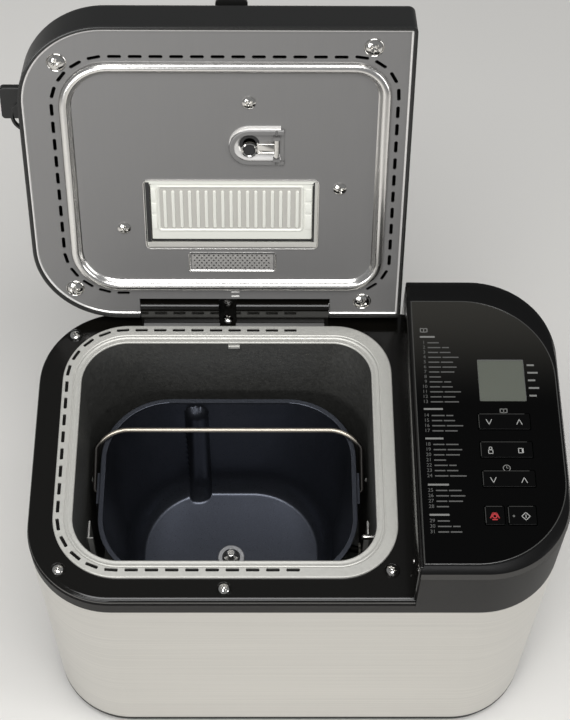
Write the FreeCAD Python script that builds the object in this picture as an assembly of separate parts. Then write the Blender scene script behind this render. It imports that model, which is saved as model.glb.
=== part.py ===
import FreeCAD, Part
import math
import os

V = FreeCAD.Vector

# Bread machine, millimetres. Everything is drawn about the middle of the slotted chamber rim,
# with x to the right, y to the back and z up from the rim's top face, and is moved at the end
# so that the origin lies on the floor under the middle of the body.

# Body
body_width = 410.0
body_depth = 257.0
body_corner = 66.0
rim_height = 272.0
pod_width = 115.0
left_margin = 36.0
pod_margin = 27.0
front_margin = 34.0
back_margin = 32.0
chamber_forward = 2.5
wrap_wall = 1.0
wrap_bottom_height = 15.0
wrap_top_drop = 21.0
casing_wall = 2.6
fit_gap = 0.3
running_gap = 0.05

# Chamber and body outlines that follow, as (left, right, front, back)
chamber_half = ((body_width - pod_width - left_margin - pod_margin) / 2,
                (body_depth - front_margin - back_margin) / 2)
chamber_box = (-chamber_half[0], chamber_half[0],
               -chamber_half[1] - chamber_forward, chamber_half[1] - chamber_forward)
body_box = (chamber_box[0] - left_margin, chamber_box[1] + pod_margin + pod_width,
            chamber_box[2] - front_margin, chamber_box[3] + back_margin)
axis_y = -chamber_forward
body_middle_x = (body_box[0] + body_box[1]) / 2
body_middle_y = (body_box[2] + body_box[3]) / 2

# Feet and base
foot_radius = 11.0
foot_height = 6.0
foot_stem_radius = 3.0
foot_inset = 58.0
tray_floor = 2.5
tray_wall_height = 16.0
tray_lip = 4.0
post_radius = 6.0
vent_slot = (3.0, 30.0)
vent_slot_step = 14.0
gland_in = 83.0
gland_rise = 34.0
gland_radius = 8.0
gland_bore = 3.8
gland_flange = 11.0
gland_depth = 14.0

# Deck round the chamber and hinge block
deck_thick = 4.0
deck_drop = 2.0
deck_edge_round = 1.8
groove_height = 2.0
groove_depth = 1.6
hinge_in = 1.1
hinge_y = body_box[3] - hinge_in
hinge_z = 12.0
open_angle = 109.8
block_half_left = 70.9
block_half_right = 81.7
block_front = 9.4
block_back = 5.6
block_top = 8.0
block_round = 5.0
block_notch = 7.2
pin_radius = 2.5
pin_length = 19.0
pin_in_ear = 8.5

# Control pod
pod_left = body_box[1] - pod_width
pod_top = 48.0
pod_chamfer_low = 7.5
pod_chamfer_high = 2.5
pod_chamfer_in = 2.0
pod_lip = 1.4
pod_back_slope = 8.0
pod_skin = 4.0
overlay_thick = 2.5
overlay_front = 9.0
overlay_right = 3.8
overlay_back = 21.5
overlay_left = 2.6
overlay_corner = 70.0
key_proud = 0.6
key_gap = 0.6
key_thick = 4.0
key_flange = 1.4
rocker_size = (39.2, 13.7)
rocker_x = body_box[1] - 46.4
rocker_rows = tuple(body_box[2] + row for row in (126.5, 102.4, 77.9))
press_row = body_box[2] + 47.8
stop_size = (14.4, 15.4)
stop_place = (body_box[1] - 59.0, press_row)
start_size = (20.8, 15.4)
start_place = (body_box[1] - 38.8, press_row)
lcd_size = (36.0, 37.2)
lcd_place = (body_box[1] - 45.6, body_box[2] + 163.0)
board_margin = (30.0, 16.0, 28.0)
board_thick = 1.6
board_drop = 13.4
switch_high = 5.2
nib_gap = 1.4
trunnion_radius = 1.5
trunnion_drop = 3.2
lug_wall = 1.6

# Chamber
rim_margin = (16.0, 14.0, 17.0)
rim_box = (chamber_box[0] - rim_margin[0], chamber_box[1] + rim_margin[0],
           chamber_box[2] - rim_margin[1], chamber_box[3] + rim_margin[2])
rim_corner = 60.0
rim_sheet = 1.2
rim_flat = 8.5
rim_funnel_drop = 5.0
slot_half = (chamber_half[0] + 12.2, chamber_half[1] + 10.7)
slot_corners = (50.0, 50.0)
slot_length = 10.2
slot_width = 2.7
slot_pitch = 15.03
rim_slots = 36
rim_slot_start = 50.0
rim_tab = (-2.0, 9.5)
chamber_corner = 44.0
chamber_floor_height = 34.0
liner_sheet = 0.8
liner_flange = 3.0
heater_radius = 3.2
heater_half = (chamber_half[0] - 13.0, chamber_half[1] - 12.5)
heater_corner = 36.0
heater_bend = 10.0
heater_rise = 18.0
heater_leads = 22.0
heater_end = 8.0
insulator_radius = 6.0
sensor_place = (chamber_box[2] + 43.0, -52.0)
sensor_radius = 2.2
sensor_reach = 7.0
guide_front = -heater_leads / 2 - 23.0
guide_wide = 16.0
guide_rise = 6.0
guide_high = 132.0
guide_fold = 4.2

# Drive train
shaft_radius = 5.0
bearing_radius = 12.0
bearing_flange = 10.0
seat_outer = 44.0
seat_inner = 35.0
seat_flange = 8.0
seat_height = 20.0
chassis_height = 27.0
chassis_sheet = 2.0
chassis_half_depth = chamber_half[1] - 17.5
chassis_corner = 24.0
chassis_upright = 46.0
pad_radius = 8.0
pulley_bottom = 13.0
pulley_thick = 11.0
large_pulley_radius = 46.0
motor_pulley_radius = 11.5
belt_thick = 3.0
belt_width = 6.0
groove_in = 4.0
motor_x = body_box[1] - 65.0
motor_radius = 32.0
motor_flange = 4.0
motor_length = 62.0
motor_shaft_radius = 4.0
motor_shaft_in = 39.0
board_stand = motor_radius + motor_flange + 4.0
transformer_size = (32.0, 15.4)
capacitor_radius = 7.0
coupling_rise = 8.0
coupling_radius = 20.0
coupling_lug = (11.5, 18.5, 5.0)

# Bread pan and bail
pan_half = (chamber_half[0] - 14.8, chamber_half[1] - 16.4)
pan_corner = pan_half[1] - 26.2
pan_drop = 68.6
pan_rise = 26.6
pan_foot_half = (pan_half[0] - 13.2, pan_half[1] - 4.0)
pan_foot_corner = pan_foot_half[1] - 5.0
pan_wall = 1.4
pan_floor_round = 13.0
pan_rim_wide = 3.0
pan_rim_thick = 2.0
rib_x = -28.3
rib_radius = 9.0
rib_sunk = 2.5
rib_drop = 14.0
pan_ring_outer = 34.0
pan_ring_inner = 30.0
pan_ring_rise = 5.0
pan_shaft_radius = 4.0
pan_shaft_above = 13.0
hub_radius = 12.1
hub_ring = 4.0
hub_drop = 8.0
wing_half = (4.0, 15.0)
wing_rise = 13.0
bail_wire = 1.8
bail_half = pan_half[0] + 8.8
bail_reach = 52.5
bail_corner = 31.0
bail_turn = 57.0
bail_elbow = 5.0
bail_crossing = 8.0
bail_bend = 2.4
bail_pivot_drop = 8.6
bail_clear = 0.4
ear_size = (28.0, 15.0)
ear_out = 5.0
ear_round = 5.0

# Lid
lid_box = (body_box[0] - 1.5, pod_left - 3.0, body_box[2], body_box[3] + 5.5)
lid_corner = 66.0
lid_square = 4.0
lid_corners = (lid_corner, lid_square, lid_square, lid_corner)
lid_depth = lid_box[3] - lid_box[2]
lid_wall = 2.4
lid_lip = 2.5
lid_top = 43.0
lid_round = 9.0
plate_face = 4.5
plate_sheet = 1.0
plate_gap = 0.2
lid_slot_half = (chamber_half[0] + 12.7, chamber_half[1] + 11.55)
lid_slot_corners = (43.0, 33.0)
lid_slots = 46
lid_slot_start = -84.2
bead_half = (chamber_half[0] + 3.0, chamber_half[1] + 3.0)
bead_corners = (34.0, 24.0, 24.0, 34.0)
bead_wide = 9.0
bead_high = 4.3
notch_clear = 14.0
notch_front = 11.0
notch_side = 0.6
ear_front = 7.0
ear_above = 12.0
boss_radius = 5.5
recess_floor = 2.0
cover_thick = 3.0
cover_box = (-90.0, 96.0, lid_box[2] + 11.0, lid_box[3] - 50.5)
cover_corner = 12.0
cover_gap = 0.5
cover_axis_back = 4.0
cover_axis_up = 2.2
knuckle_radius = 2.3
cover_pin_radius = 1.1
shell_knuckles = ((-34.0, -14.0), (20.0, 40.0))
cover_knuckles = ((-60.0, -34.6), (40.6, 66.0))
grip_x = (-7.0, 17.0)
grip_rise = 4.4
grip_back = 10.0
grip_tab = (17.0, lid_box[2] + 64.5, lid_box[2] + 91.5, 28.0, 34.0)
grip_bow = (lid_box[2] + 77.0, 11.5, 6.6, 7.0, 11.0)
bow_thick = 1.6
corner_screws = ((lid_box[0] + 31.4, lid_box[2] + 29.8), (lid_box[1] - 31.1, lid_box[2] + 16.9),
                 (lid_box[0] + 30.9, lid_box[3] - 28.0), (lid_box[1] - 31.5, lid_box[3] - 15.5))
deck_screws = ((body_box[0] + 27.0, body_box[3] - 23.0), (body_box[0] + 26.5, body_box[2] + 26.5),
               (-0.4, body_box[2] + 11.0), (pod_left - 17.2, body_box[2] + 26.0), (-0.5, hinge_y - 5.5))
corner_screw_head = 5.8
inner_screw_head = 5.0
deck_screw_head = 4.0
screw_shank = 1.6
screw_head_high = 2.2
lid_screw_length = 12.0
inner_screw_length = 10.0

# Dispensers in the lid
vent_box = (-30.0, 38.0, lid_box[3] - 63.2, lid_box[3] - 45.5)
vent_hole = 0.85
vent_step = 3.8
vent_row_step = 2.4
vent_rows = 6
vent_sheet = 0.8
nut_back = lid_box[3] - 68.2
nut_opening = (-63.0, 71.0, nut_back - 0.24 * lid_depth, nut_back)
nut_frame = 3.0
nut_gap = 0.4
flap_gap = 0.6
flap_thick = 2.0
flap_axis_in = 3.9
flap_axis_up = 4.2
flap_barrel = 2.2
flap_ribs = 17
flap_rib_wide = 3.2
flap_rib_in = 8.0
flap_back_rail = 9.0
bin_wall = 1.6
bin_in = 3.0
bin_front = 8.0
shelf_rise = 8.6
yeast_place = (18.1, nut_opening[2] - 30.1)
yeast_hole = 8.0
yeast_mouth = 21.0
funnel_throat = 6.0
funnel_rim = 4.0
hopper_margin = 6.0
hopper_sides = (-66.0, 74.0)
inner_screws = ((17.9, yeast_place[1] - 38.5), (87.5, nut_opening[2] + 7.2), (-80.3, nut_back - 18.8))
column_radius = 4.5
valve_radius = 9.5
valve_arm = 20.4
valve_thick = 1.6
valve_pin = 0.9
valve_axis_drop = 2.3
valve_barrel = 1.9
valve_barrel_half = 7.6
u_outer = 15.6
u_wide = 4.0
u_high = 2.4
u_tail = 5.6
solenoid_high = 20.0
nut_solenoid_box = (80.0, 108.0, nut_back - 38.3, nut_back - 16.3)
yeast_solenoid_box = (84.0, 110.0, yeast_place[1] - 21.2, yeast_place[1] + 0.8)

# Heights that follow from the sizes above
floor_z = -rim_height
wrap_bottom = floor_z + wrap_bottom_height
wrap_top = -wrap_top_drop
deck_top = -deck_drop
deck_bottom = deck_top - deck_thick
band_top = deck_bottom - groove_height
tray_bottom = floor_z + foot_height
tray_top = tray_bottom + tray_floor
chassis_bottom = floor_z + chassis_height
chassis_top = chassis_bottom + chassis_sheet
chamber_floor = floor_z + chamber_floor_height
heater_z = chamber_floor + heater_rise
pulley_z = floor_z + pulley_bottom
pan_top = -pan_drop
pan_bottom = chamber_floor + pan_rise
pan_floor_z = pan_bottom + pan_wall
board_top = pod_top - board_drop
lid_skin = lid_top - lid_wall
recess_top = lid_top - cover_thick
recess_under = recess_top - recess_floor


def inset(box, gap):
    """The outline moved inwards by a gap on every side."""
    return (box[0] + gap, box[1] - gap, box[2] + gap, box[3] - gap)


def tighter(corners, gap):
    """Corner radii of an outline that was moved inwards by a gap."""
    return tuple(max(r - gap, 1.0) for r in corners)


def about(half, centre=(0.0, 0.0)):
    """Outline from a half width and half depth round a centre."""
    return (centre[0] - half[0], centre[0] + half[0], centre[1] - half[1], centre[1] + half[1])


def outline(box, corners, z):
    """Rounded rectangle wire. Corners run front left, front right, back right, back left."""
    left, right, front, back = box
    fl, fr, br, bl = corners
    k = 1 - math.sqrt(0.5)
    points = [
        (V(left + fl, front, z), V(right - fr, front, z), V(right - fr * k, front + fr * k, z)),
        (V(right, front + fr, z), V(right, back - br, z), V(right - br * k, back - br * k, z)),
        (V(right - br, back, z), V(left + bl, back, z), V(left + bl * k, back - bl * k, z)),
        (V(left, back - bl, z), V(left, front + fl, z), V(left + fl * k, front + fl * k, z)),
    ]
    edges = []
    for i, (start, end, middle) in enumerate(points):
        after = points[(i + 1) % 4][0]
        if start.distanceToPoint(end) > 1e-6:
            edges.append(Part.LineSegment(start, end).toShape())
        edges.append(Part.Arc(end, middle, after).toShape())
    return Part.Wire(edges)


def slab(box, corners, low, high):
    """Upright block with a rounded rectangle plan."""
    if not isinstance(corners, tuple):
        corners = (corners,) * 4
    return Part.Face(outline(box, corners, low)).extrude(V(0, 0, high - low))


def taper(box_low, corners_low, low, box_high, corners_high, high):
    """Tapered block between two rounded rectangles."""
    if not isinstance(corners_low, tuple):
        corners_low = (corners_low,) * 4
    if not isinstance(corners_high, tuple):
        corners_high = (corners_high,) * 4
    wires = [outline(box_low, corners_low, low), outline(box_high, corners_high, high)]
    return Part.makeLoft(wires, True, True)


def block(x0, x1, y0, y1, z0, z1):
    """Plain box between two corners."""
    return Part.makeBox(x1 - x0, y1 - y0, z1 - z0, V(x0, y0, z0))


def post(x, y, low, high, radius):
    """Upright cylinder."""
    return Part.makeCylinder(radius, high - low, V(x, y, low))


def rod(start, end, radius):
    """Cylinder from one point to another."""
    return Part.makeCylinder(radius, start.distanceToPoint(end), start, end - start)


def turned(profile, x, y):
    """Solid of revolution about an upright axis, from (radius, height) points."""
    points = [V(x + r, y, z) for r, z in profile]
    face = Part.Face(Part.makePolygon(points + points[:1]))
    return face.revolve(V(x, y, 0), V(0, 0, 1), 360)


def join(first, *others):
    """One solid from several that touch or overlap."""
    return first.fuse(list(others)).removeSplitter()


def edges_at(shape, height):
    """Edges that lie wholly in one level plane."""
    return [e for e in shape.Edges if all(abs(v.Z - height) < 1e-4 for v in e.Vertexes)
            and abs(e.BoundBox.ZMax - e.BoundBox.ZMin) < 1e-3]


def along_ring(half, corners, distance):
    """Point and heading on a rounded rectangle, from its back right, going left and round."""
    left, right = corners
    across = 2 * half[0] - left - right
    legs = (across, math.pi * left / 2, 2 * (half[1] - left), math.pi * left / 2,
            across, math.pi * right / 2, 2 * (half[1] - right), math.pi * right / 2)
    heading = 180.0
    x, y = half[0] - right, half[1]
    for i, leg in enumerate(legs):
        corner = left if i < 4 else right
        step = min(distance, leg)
        a = math.radians(heading)
        if i % 2 == 0:
            x, y = x + step * math.cos(a), y + step * math.sin(a)
        else:
            cx, cy = x - corner * math.sin(a), y + corner * math.cos(a)
            turn = step / corner
            x, y = cx + corner * math.sin(a + turn), cy - corner * math.cos(a + turn)
            heading += math.degrees(turn)
        distance -= step
        if distance <= 0:
            break
    return x, y, heading


def slot_cutters(half, corners, start_x, count, low, high):
    """Row of round-ended slots that follows a rounded rectangle."""
    cutters = []
    for i in range(count):
        x, y, heading = along_ring(half, corners, half[0] - corners[1] - start_x + i * slot_pitch)
        cutter = slot_prism(low, high)
        cutter.rotate(V(0, 0, 0), V(0, 0, 1), heading)
        cutter.translate(V(x, y, 0))
        cutters.append(cutter)
    return Part.makeCompound(cutters)


def slot_prism(low, high):
    """One slot with its ends cut off at the corners."""
    half, wide = slot_length / 2, slot_width / 2
    cut = slot_width * 0.3
    plan = [(-half + cut, -wide), (half - cut, -wide), (half, -wide + cut), (half, wide - cut),
            (half - cut, wide), (-half + cut, wide), (-half, wide - cut), (-half, -wide + cut)]
    return prism(plan, low, high)


def prism(plan, low, high):
    """Upright prism over a polygon."""
    points = [V(x, y, low) for x, y in plan]
    return Part.Face(Part.makePolygon(points + points[:1])).extrude(V(0, 0, high - low))


def opened(shape):
    """A lid piece, drawn with the lid shut, swung to the open stop."""
    shape.rotate(V(0, hinge_y, hinge_z), V(1, 0, 0), -open_angle)
    return shape


def screw(x, y, seat, up, head, shank_length):
    """Pan head screw on a seat face, with its head up or down."""
    side = 1 if up else -1
    profile = [(0, seat + side * screw_head_high), (head * 0.55, seat + side * screw_head_high * 0.9),
               (head * 0.9, seat + side * screw_head_high * 0.5), (head, seat),
               (screw_shank, seat), (screw_shank, seat - side * shank_length), (0, seat - side * shank_length)]
    return turned(profile, x, y)


# Feet, base and outer wrap

def foot_places():
    left, right, front, back = inset(body_box, foot_inset)
    return [(x, y) for x in (left, right) for y in (front, back)]


def make_feet():
    feet = []
    for x, y in foot_places():
        profile = [(0, floor_z), (foot_radius - 1, floor_z), (foot_radius, floor_z + 1),
                   (foot_radius - 1.5, tray_bottom), (foot_stem_radius, tray_bottom),
                   (foot_stem_radius, tray_top), (0, tray_top)]
        feet.append(turned(profile, x, y))
    return feet


def chassis_posts():
    y = chassis_half_depth - 16
    return [(x, axis_y + side * y) for x in (-chamber_half[0] + 20, chamber_half[0] - 1) for side in (-1, 1)]


def make_base_tray():
    inner = inset(body_box, wrap_wall + fit_gap)
    corners = tighter((body_corner,) * 4, wrap_wall + fit_gap)
    wall_top = wrap_bottom + tray_wall_height
    shell = slab(inner, corners, tray_bottom, wall_top)
    lip = slab(body_box, body_corner, wrap_bottom - tray_lip, wrap_bottom)
    hollow = slab(inset(inner, casing_wall), tighter(corners, casing_wall), tray_top, wall_top + 1)
    tray = join(shell, lip).cut(hollow)
    posts = [post(x, y, tray_top - 0.5, chassis_bottom, post_radius) for x, y in chassis_posts()]
    tray = join(tray, *posts)
    stems = [post(x, y, tray_bottom - 1, tray_top + 1, foot_stem_radius) for x, y in foot_places()]
    vents = [slab(about(vent_slot, (motor_x - 45 + i * vent_slot_step, 0)), vent_slot[0] - 0.1,
                  tray_bottom - 1, tray_top + 1) for i in range(5)]
    return tray.cut(stems + vents)


def gland_place():
    return body_box[1] - gland_in, wrap_bottom + gland_rise


def make_outer_wrap():
    """Sheet round the front and both sides, closed by a flat back sheet with the cord hole."""
    inner = inset(body_box, wrap_wall)
    wrap = slab(body_box, body_corner, wrap_bottom, wrap_top)
    wrap = wrap.cut(slab(inner, tighter((body_corner,) * 4, wrap_wall), wrap_bottom - 1, wrap_top + 1))
    x, z = gland_place()
    hole = rod(V(x, body_box[3] - 5, z), V(x, body_box[3] + 5, z), gland_radius)
    rear = block(body_box[0] + body_corner, body_box[1] - body_corner, body_box[3] - 2 * wrap_wall,
                 body_box[3] + 1, wrap_bottom - 1, wrap_top + 1)
    return [wrap.cut(rear), wrap.common(rear).cut(hole)]


def make_cord_gland():
    x, z = gland_place()
    back = body_box[3]
    sleeve = rod(V(x, back - gland_depth, z), V(x, back, z), gland_radius)
    flange = rod(V(x, back, z), V(x, back + 3, z), gland_flange)
    nut = rod(V(x, back - wrap_wall - 4, z), V(x, back - wrap_wall, z), gland_flange)
    bore = rod(V(x, back - gland_depth - 1, z), V(x, back + 4, z), gland_bore)
    return join(sleeve, flange, nut).cut(bore)


# Upper casing with the control pod

def overlay_box():
    return (pod_left + overlay_left, body_box[1] - overlay_right,
            body_box[2] + overlay_front, body_box[3] - overlay_back)


def keys():
    """Name, plan size, middle and whether it rocks, for every key."""
    rows = zip(("select_key", "option_key", "timer_key"), rocker_rows)
    listed = [(name, rocker_size, (rocker_x, y), True) for name, y in rows]
    listed.append(("stop_key", stop_size, stop_place, False))
    listed.append(("start_key", start_size, start_place, False))
    return listed


def key_box(size, place, gap):
    return about((size[0] / 2 + gap, size[1] / 2 + gap), place)


def board_box():
    side, front, back = board_margin
    return (rocker_x - side, rocker_x + side, press_row - front, lcd_place[1] + back)


def make_upper_casing():
    corners = (body_corner,) * 4
    right = block(pod_left, body_box[1] + 1, body_box[2] - 1, body_box[3] + 1, wrap_top - 40, pod_top + 1)
    chamfer = inset(body_box, pod_chamfer_in)
    chamfer_corners = tighter(corners, pod_chamfer_in)
    crown = (chamfer[0], overlay_box()[1] + pod_lip, overlay_box()[2] - pod_lip, body_box[3] - pod_back_slope)
    low, high = pod_top - pod_chamfer_low, pod_top - pod_chamfer_high
    pod = join(slab(body_box, corners, wrap_top, low),
               taper(body_box, corners, low, chamfer, chamfer_corners, high),
               taper(chamfer, chamfer_corners, high, crown, overlay_corner + pod_lip, pod_top)).common(right)
    band = slab(body_box, corners, wrap_top, band_top)
    in_wrap = wrap_wall + fit_gap
    sleeve = slab(inset(body_box, in_wrap), tighter(corners, in_wrap), wrap_top - 8, wrap_top)
    hollow = slab(inset(body_box, casing_wall + wrap_wall), tighter(corners, casing_wall + wrap_wall),
                  wrap_top - 20, band_top + 1)
    inner = slab(inset(body_box, casing_wall + wrap_wall), tighter(corners, casing_wall + wrap_wall),
                 wrap_top - 20, pod_top - pod_skin)
    inner = inner.common(block(pod_left + casing_wall, body_box[1], body_box[2], body_box[3],
                               wrap_top - 30, pod_top))
    casing = join(band, pod, sleeve)
    casing = casing.cut(hollow.common(block(body_box[0], pod_left, body_box[2], body_box[3],
                                            wrap_top - 30, pod_top)))
    casing = casing.cut(hollow.common(block(pod_left, pod_left + casing_wall, body_box[2], body_box[3],
                                            wrap_top - 30, deck_bottom - groove_height - 8)))
    casing = casing.cut(inner)
    ov_corners = (2.0, overlay_corner, overlay_corner, 2.0)
    casing = casing.cut(slab(overlay_box(), ov_corners, pod_top - overlay_thick, pod_top + 1))
    lcd_hole = slab(key_box(lcd_size, lcd_place, 3.0), 2.0, pod_top - pod_skin - 1, pod_top)
    holes = [slab(key_box(size, place, key_gap), 1.5, pod_top - pod_skin - 1, pod_top)
             for _, size, place, _ in keys()]
    casing = casing.cut([lcd_hole] + holes)
    under = pod_top - pod_skin
    lugs = []
    axis_z = trunnion_axis()
    for _, size, place, rocks in keys():
        if rocks:
            for side in (-1, 1):
                y = place[1] + side * (size[1] / 2 + key_gap + lug_wall)
                lug = block(place[0] - 3, place[0] + 3, y - lug_wall, y + lug_wall, axis_z - 3, under + 0.5)
                bore = rod(V(place[0], y - 3, axis_z), V(place[0], y + 3, axis_z),
                           trunnion_radius + running_gap)
                lugs.append(lug.cut(bore))
    bosses = [post(x, y, board_top, under + 0.5, 3.0) for x, y in board_boss_places()]
    return join(casing, *(lugs + bosses))


def trunnion_axis():
    return pod_top - pod_skin - trunnion_drop


def board_boss_places():
    left, right, front, back = inset(board_box(), 4)
    return [(left, front), (left, back), (right, back), (right, front)]


def make_panel_overlay():
    top = pod_top
    plate = slab(inset(overlay_box(), fit_gap), (1.7, overlay_corner - fit_gap, overlay_corner - fit_gap, 1.7),
                 top - overlay_thick, top)
    holes = [slab(key_box(size, place, key_gap), 1.5, top - 5, top + 1) for _, size, place, _ in keys()]
    holes.append(slab(key_box(lcd_size, lcd_place, 0), 1.0, top - 5, top + 1))
    return plate.cut(holes)


def make_key(size, place, rocks):
    """Key cap with either trunnions or a retaining flange and plunger below."""
    x, y = place
    top = pod_top + key_proud
    cap = slab(key_box(size, place, 0), 1.2, top - key_thick, top)
    cap = cap.makeFillet(0.5, edges_at(cap, top))
    under = pod_top - pod_skin
    if rocks:
        axis_z = trunnion_axis()
        deep = size[1] / 2 - 0.4
        web = block(x - 2.4, x + 2.4, y - deep, y + deep, axis_z - 2.2, top - key_thick + 0.4)
        reach = size[1] / 2 + key_gap + 2 * lug_wall - 0.2
        pivot = rod(V(x, y - reach, axis_z), V(x, y + reach, axis_z), trunnion_radius)
        foot = board_top + switch_high + nib_gap
        nibs = [post(x + side * (size[0] / 2 - 5), y, foot, top - key_thick + 0.4, 2.0) for side in (-1, 1)]
        return join(cap, web, pivot, *nibs)
    wide = about((size[0] / 2 - 1, size[1] / 2 + key_gap + key_flange), place)
    flange = slab(wide, 1.5, under - fit_gap - key_flange, under - fit_gap)
    neck = slab(key_box(size, place, -1), 1.2, under - 0.6, top - key_thick + 0.5)
    plunger = post(x, y, board_top + switch_high + nib_gap, under - 1.0, 2.0)
    return join(cap, neck, flange, plunger)


def make_switches():
    places = []
    for _, size, (x, y), rocks in keys():
        if rocks:
            places += [(x - size[0] / 2 + 5, y), (x + size[0] / 2 - 5, y)]
        else:
            places.append((x, y))
    return [join(block(x - 3, x + 3, y - 3, y + 3, board_top, board_top + 3.6),
                 post(x, y, board_top + 3.0, board_top + switch_high, 1.7)) for x, y in places]


def make_control_board():
    return slab(board_box(), 2.0, board_top - board_thick, board_top)


def make_lcd_module():
    body = slab(key_box(lcd_size, lcd_place, 2.2), 1.0, board_top, pod_top - overlay_thick - 0.3)
    face = slab(key_box(lcd_size, lcd_place, -fit_gap), 0.8, pod_top - overlay_thick - 1.0, pod_top - 0.9)
    return join(body, face)


def make_lcd_window():
    return slab(key_box(lcd_size, lcd_place, -0.1), 0.9, pod_top - 0.9, pod_top)


# Deck, rim and chamber

def hinge_block():
    front, back = hinge_y - block_front, hinge_y + block_back
    top = hinge_z + block_top
    body = block(-block_half_left, block_half_right, front, back, deck_top - deck_thick, top)
    lengthwise = [e for e in edges_at(body, top) if e.BoundBox.XLength > 20]
    body = body.makeFillet(block_round, lengthwise)
    x, y = deck_screws[4]
    body = body.cut(block(x - block_notch, x + block_notch, front - 1, y + block_notch, deck_top, top + 1))
    depth = pin_length - pin_in_ear + 0.6
    for end, side in ((-block_half_left, 1), (block_half_right, -1)):
        bore = rod(V(end - side, hinge_y, hinge_z), V(end + side * depth, hinge_y, hinge_z),
                   pin_radius + running_gap)
        body = body.cut(bore)
    return body


def make_top_deck():
    corners = (body_corner,) * 4
    left = block(body_box[0] - 1, pod_left - fit_gap, body_box[2] - 1, body_box[3] + 1, -60, 60)
    plate = slab(inset(body_box, 0.8), tighter(corners, 0.8), deck_bottom, deck_top)
    plate = plate.makeFillet(deck_edge_round, edges_at(plate, deck_top))
    step = slab(inset(body_box, groove_depth), tighter(corners, groove_depth), band_top, deck_bottom)
    step = step.cut(slab(inset(body_box, casing_wall + 4), tighter(corners, casing_wall + 4), band_top - 1,
                         deck_bottom + 1))
    deck = join(plate.common(left), step.common(left), hinge_block())
    rim_hole = rim_flat - 2 * fit_gap
    deck = deck.cut(slab(inset(rim_box, rim_hole), rim_corner - rim_hole, -60, deck_top + 1))
    holes = [post(x, y, deck_bottom - 1, deck_top + 1, screw_shank) for x, y in deck_screws]
    return deck.cut(holes)


def make_deck_screws():
    return [screw(x, y, deck_top, True, deck_screw_head, deck_thick) for x, y in deck_screws]


def make_chamber_rim():
    """Slotted sheet rim with a turned down edge and a funnel into the chamber."""
    flat_in = inset(rim_box, rim_flat)
    corner_in = rim_corner - rim_flat
    mouth = chamber_box
    low = -rim_funnel_drop
    plate = slab(rim_box, rim_corner, -rim_sheet, 0)
    edge = slab(rim_box, rim_corner, deck_top, -rim_sheet)
    edge = edge.cut(slab(inset(rim_box, rim_sheet), rim_corner - rim_sheet, deck_top - 1, 0))
    under = taper(inset(mouth, -rim_sheet), chamber_corner + rim_sheet, low - rim_sheet,
                  flat_in, corner_in, -rim_sheet)
    funnel = taper(mouth, chamber_corner, low, flat_in, corner_in, 0.0)
    through = slab(mouth, chamber_corner, low - 2 * rim_sheet, low)
    rim = join(plate, edge, under).cut([funnel, through])
    tab = block(rim_tab[0], rim_tab[1], mouth[3] - 1.2, mouth[3] + 1.2, low - rim_sheet, -rim_sheet - 0.8)
    slots = slot_cutters(slot_half, slot_corners, rim_slot_start, rim_slots, -rim_sheet - 1, 1)
    return join(rim, tab).cut(slots)


def make_chamber_liner():
    mouth = chamber_box
    top = -rim_funnel_drop - rim_sheet
    outside = slab(inset(mouth, -liner_sheet), chamber_corner + liner_sheet, chamber_floor - liner_sheet, top)
    inside = slab(mouth, chamber_corner, chamber_floor, top + 1)
    liner = outside.cut(inside)
    lip = liner_sheet + liner_flange
    flange = slab(inset(mouth, -lip), chamber_corner + lip, top - liner_sheet, top)
    liner = join(liner, flange.cut(slab(mouth, chamber_corner, top - 3, top + 1)))
    hole = post(0, axis_y, chamber_floor - 5, chamber_floor + 5, seat_inner - seat_flange)
    x = chamber_half[0]
    leads = [rod(V(x - 4, side * heater_leads / 2, heater_z), V(x + 4, side * heater_leads / 2, heater_z),
                 insulator_radius) for side in (-1, 1)]
    y, z = sensor_place
    probe = rod(V(x - 20, y, z), V(x + 10, y, z), sensor_radius)
    return liner.cut([hole, probe] + leads)


def make_heating_element():
    hx, hy = heater_half
    r = heater_corner
    bend = heater_bend
    end_x = chamber_half[0] + heater_end
    lead = heater_leads / 2
    k = 1 - math.sqrt(0.5)
    z = heater_z

    def p(x, y):
        return V(x, y, z)
    edges = [
        Part.LineSegment(p(end_x, -lead), p(hx + bend, -lead)).toShape(),
        Part.Arc(p(hx + bend, -lead), p(hx + bend * k, -lead - bend * k), p(hx, -lead - bend)).toShape(),
        Part.LineSegment(p(hx, -lead - bend), p(hx, -hy + r)).toShape(),
        Part.Arc(p(hx, -hy + r), p(hx - r * k, -hy + r * k), p(hx - r, -hy)).toShape(),
        Part.LineSegment(p(hx - r, -hy), p(-hx + r, -hy)).toShape(),
        Part.Arc(p(-hx + r, -hy), p(-hx + r * k, -hy + r * k), p(-hx, -hy + r)).toShape(),
        Part.LineSegment(p(-hx, -hy + r), p(-hx, hy - r)).toShape(),
        Part.Arc(p(-hx, hy - r), p(-hx + r * k, hy - r * k), p(-hx + r, hy)).toShape(),
        Part.LineSegment(p(-hx + r, hy), p(hx - r, hy)).toShape(),
        Part.Arc(p(hx - r, hy), p(hx - r * k, hy - r * k), p(hx, hy - r)).toShape(),
        Part.LineSegment(p(hx, hy - r), p(hx, lead + bend)).toShape(),
        Part.Arc(p(hx, lead + bend), p(hx + bend * k, lead + bend * k), p(hx + bend, lead)).toShape(),
        Part.LineSegment(p(hx + bend, lead), p(end_x, lead)).toShape(),
    ]
    ring = Part.Wire(Part.makeCircle(heater_radius, p(end_x, -lead), V(1, 0, 0)))
    return Part.Wire(edges).makePipeShell([ring], True, False)


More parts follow.
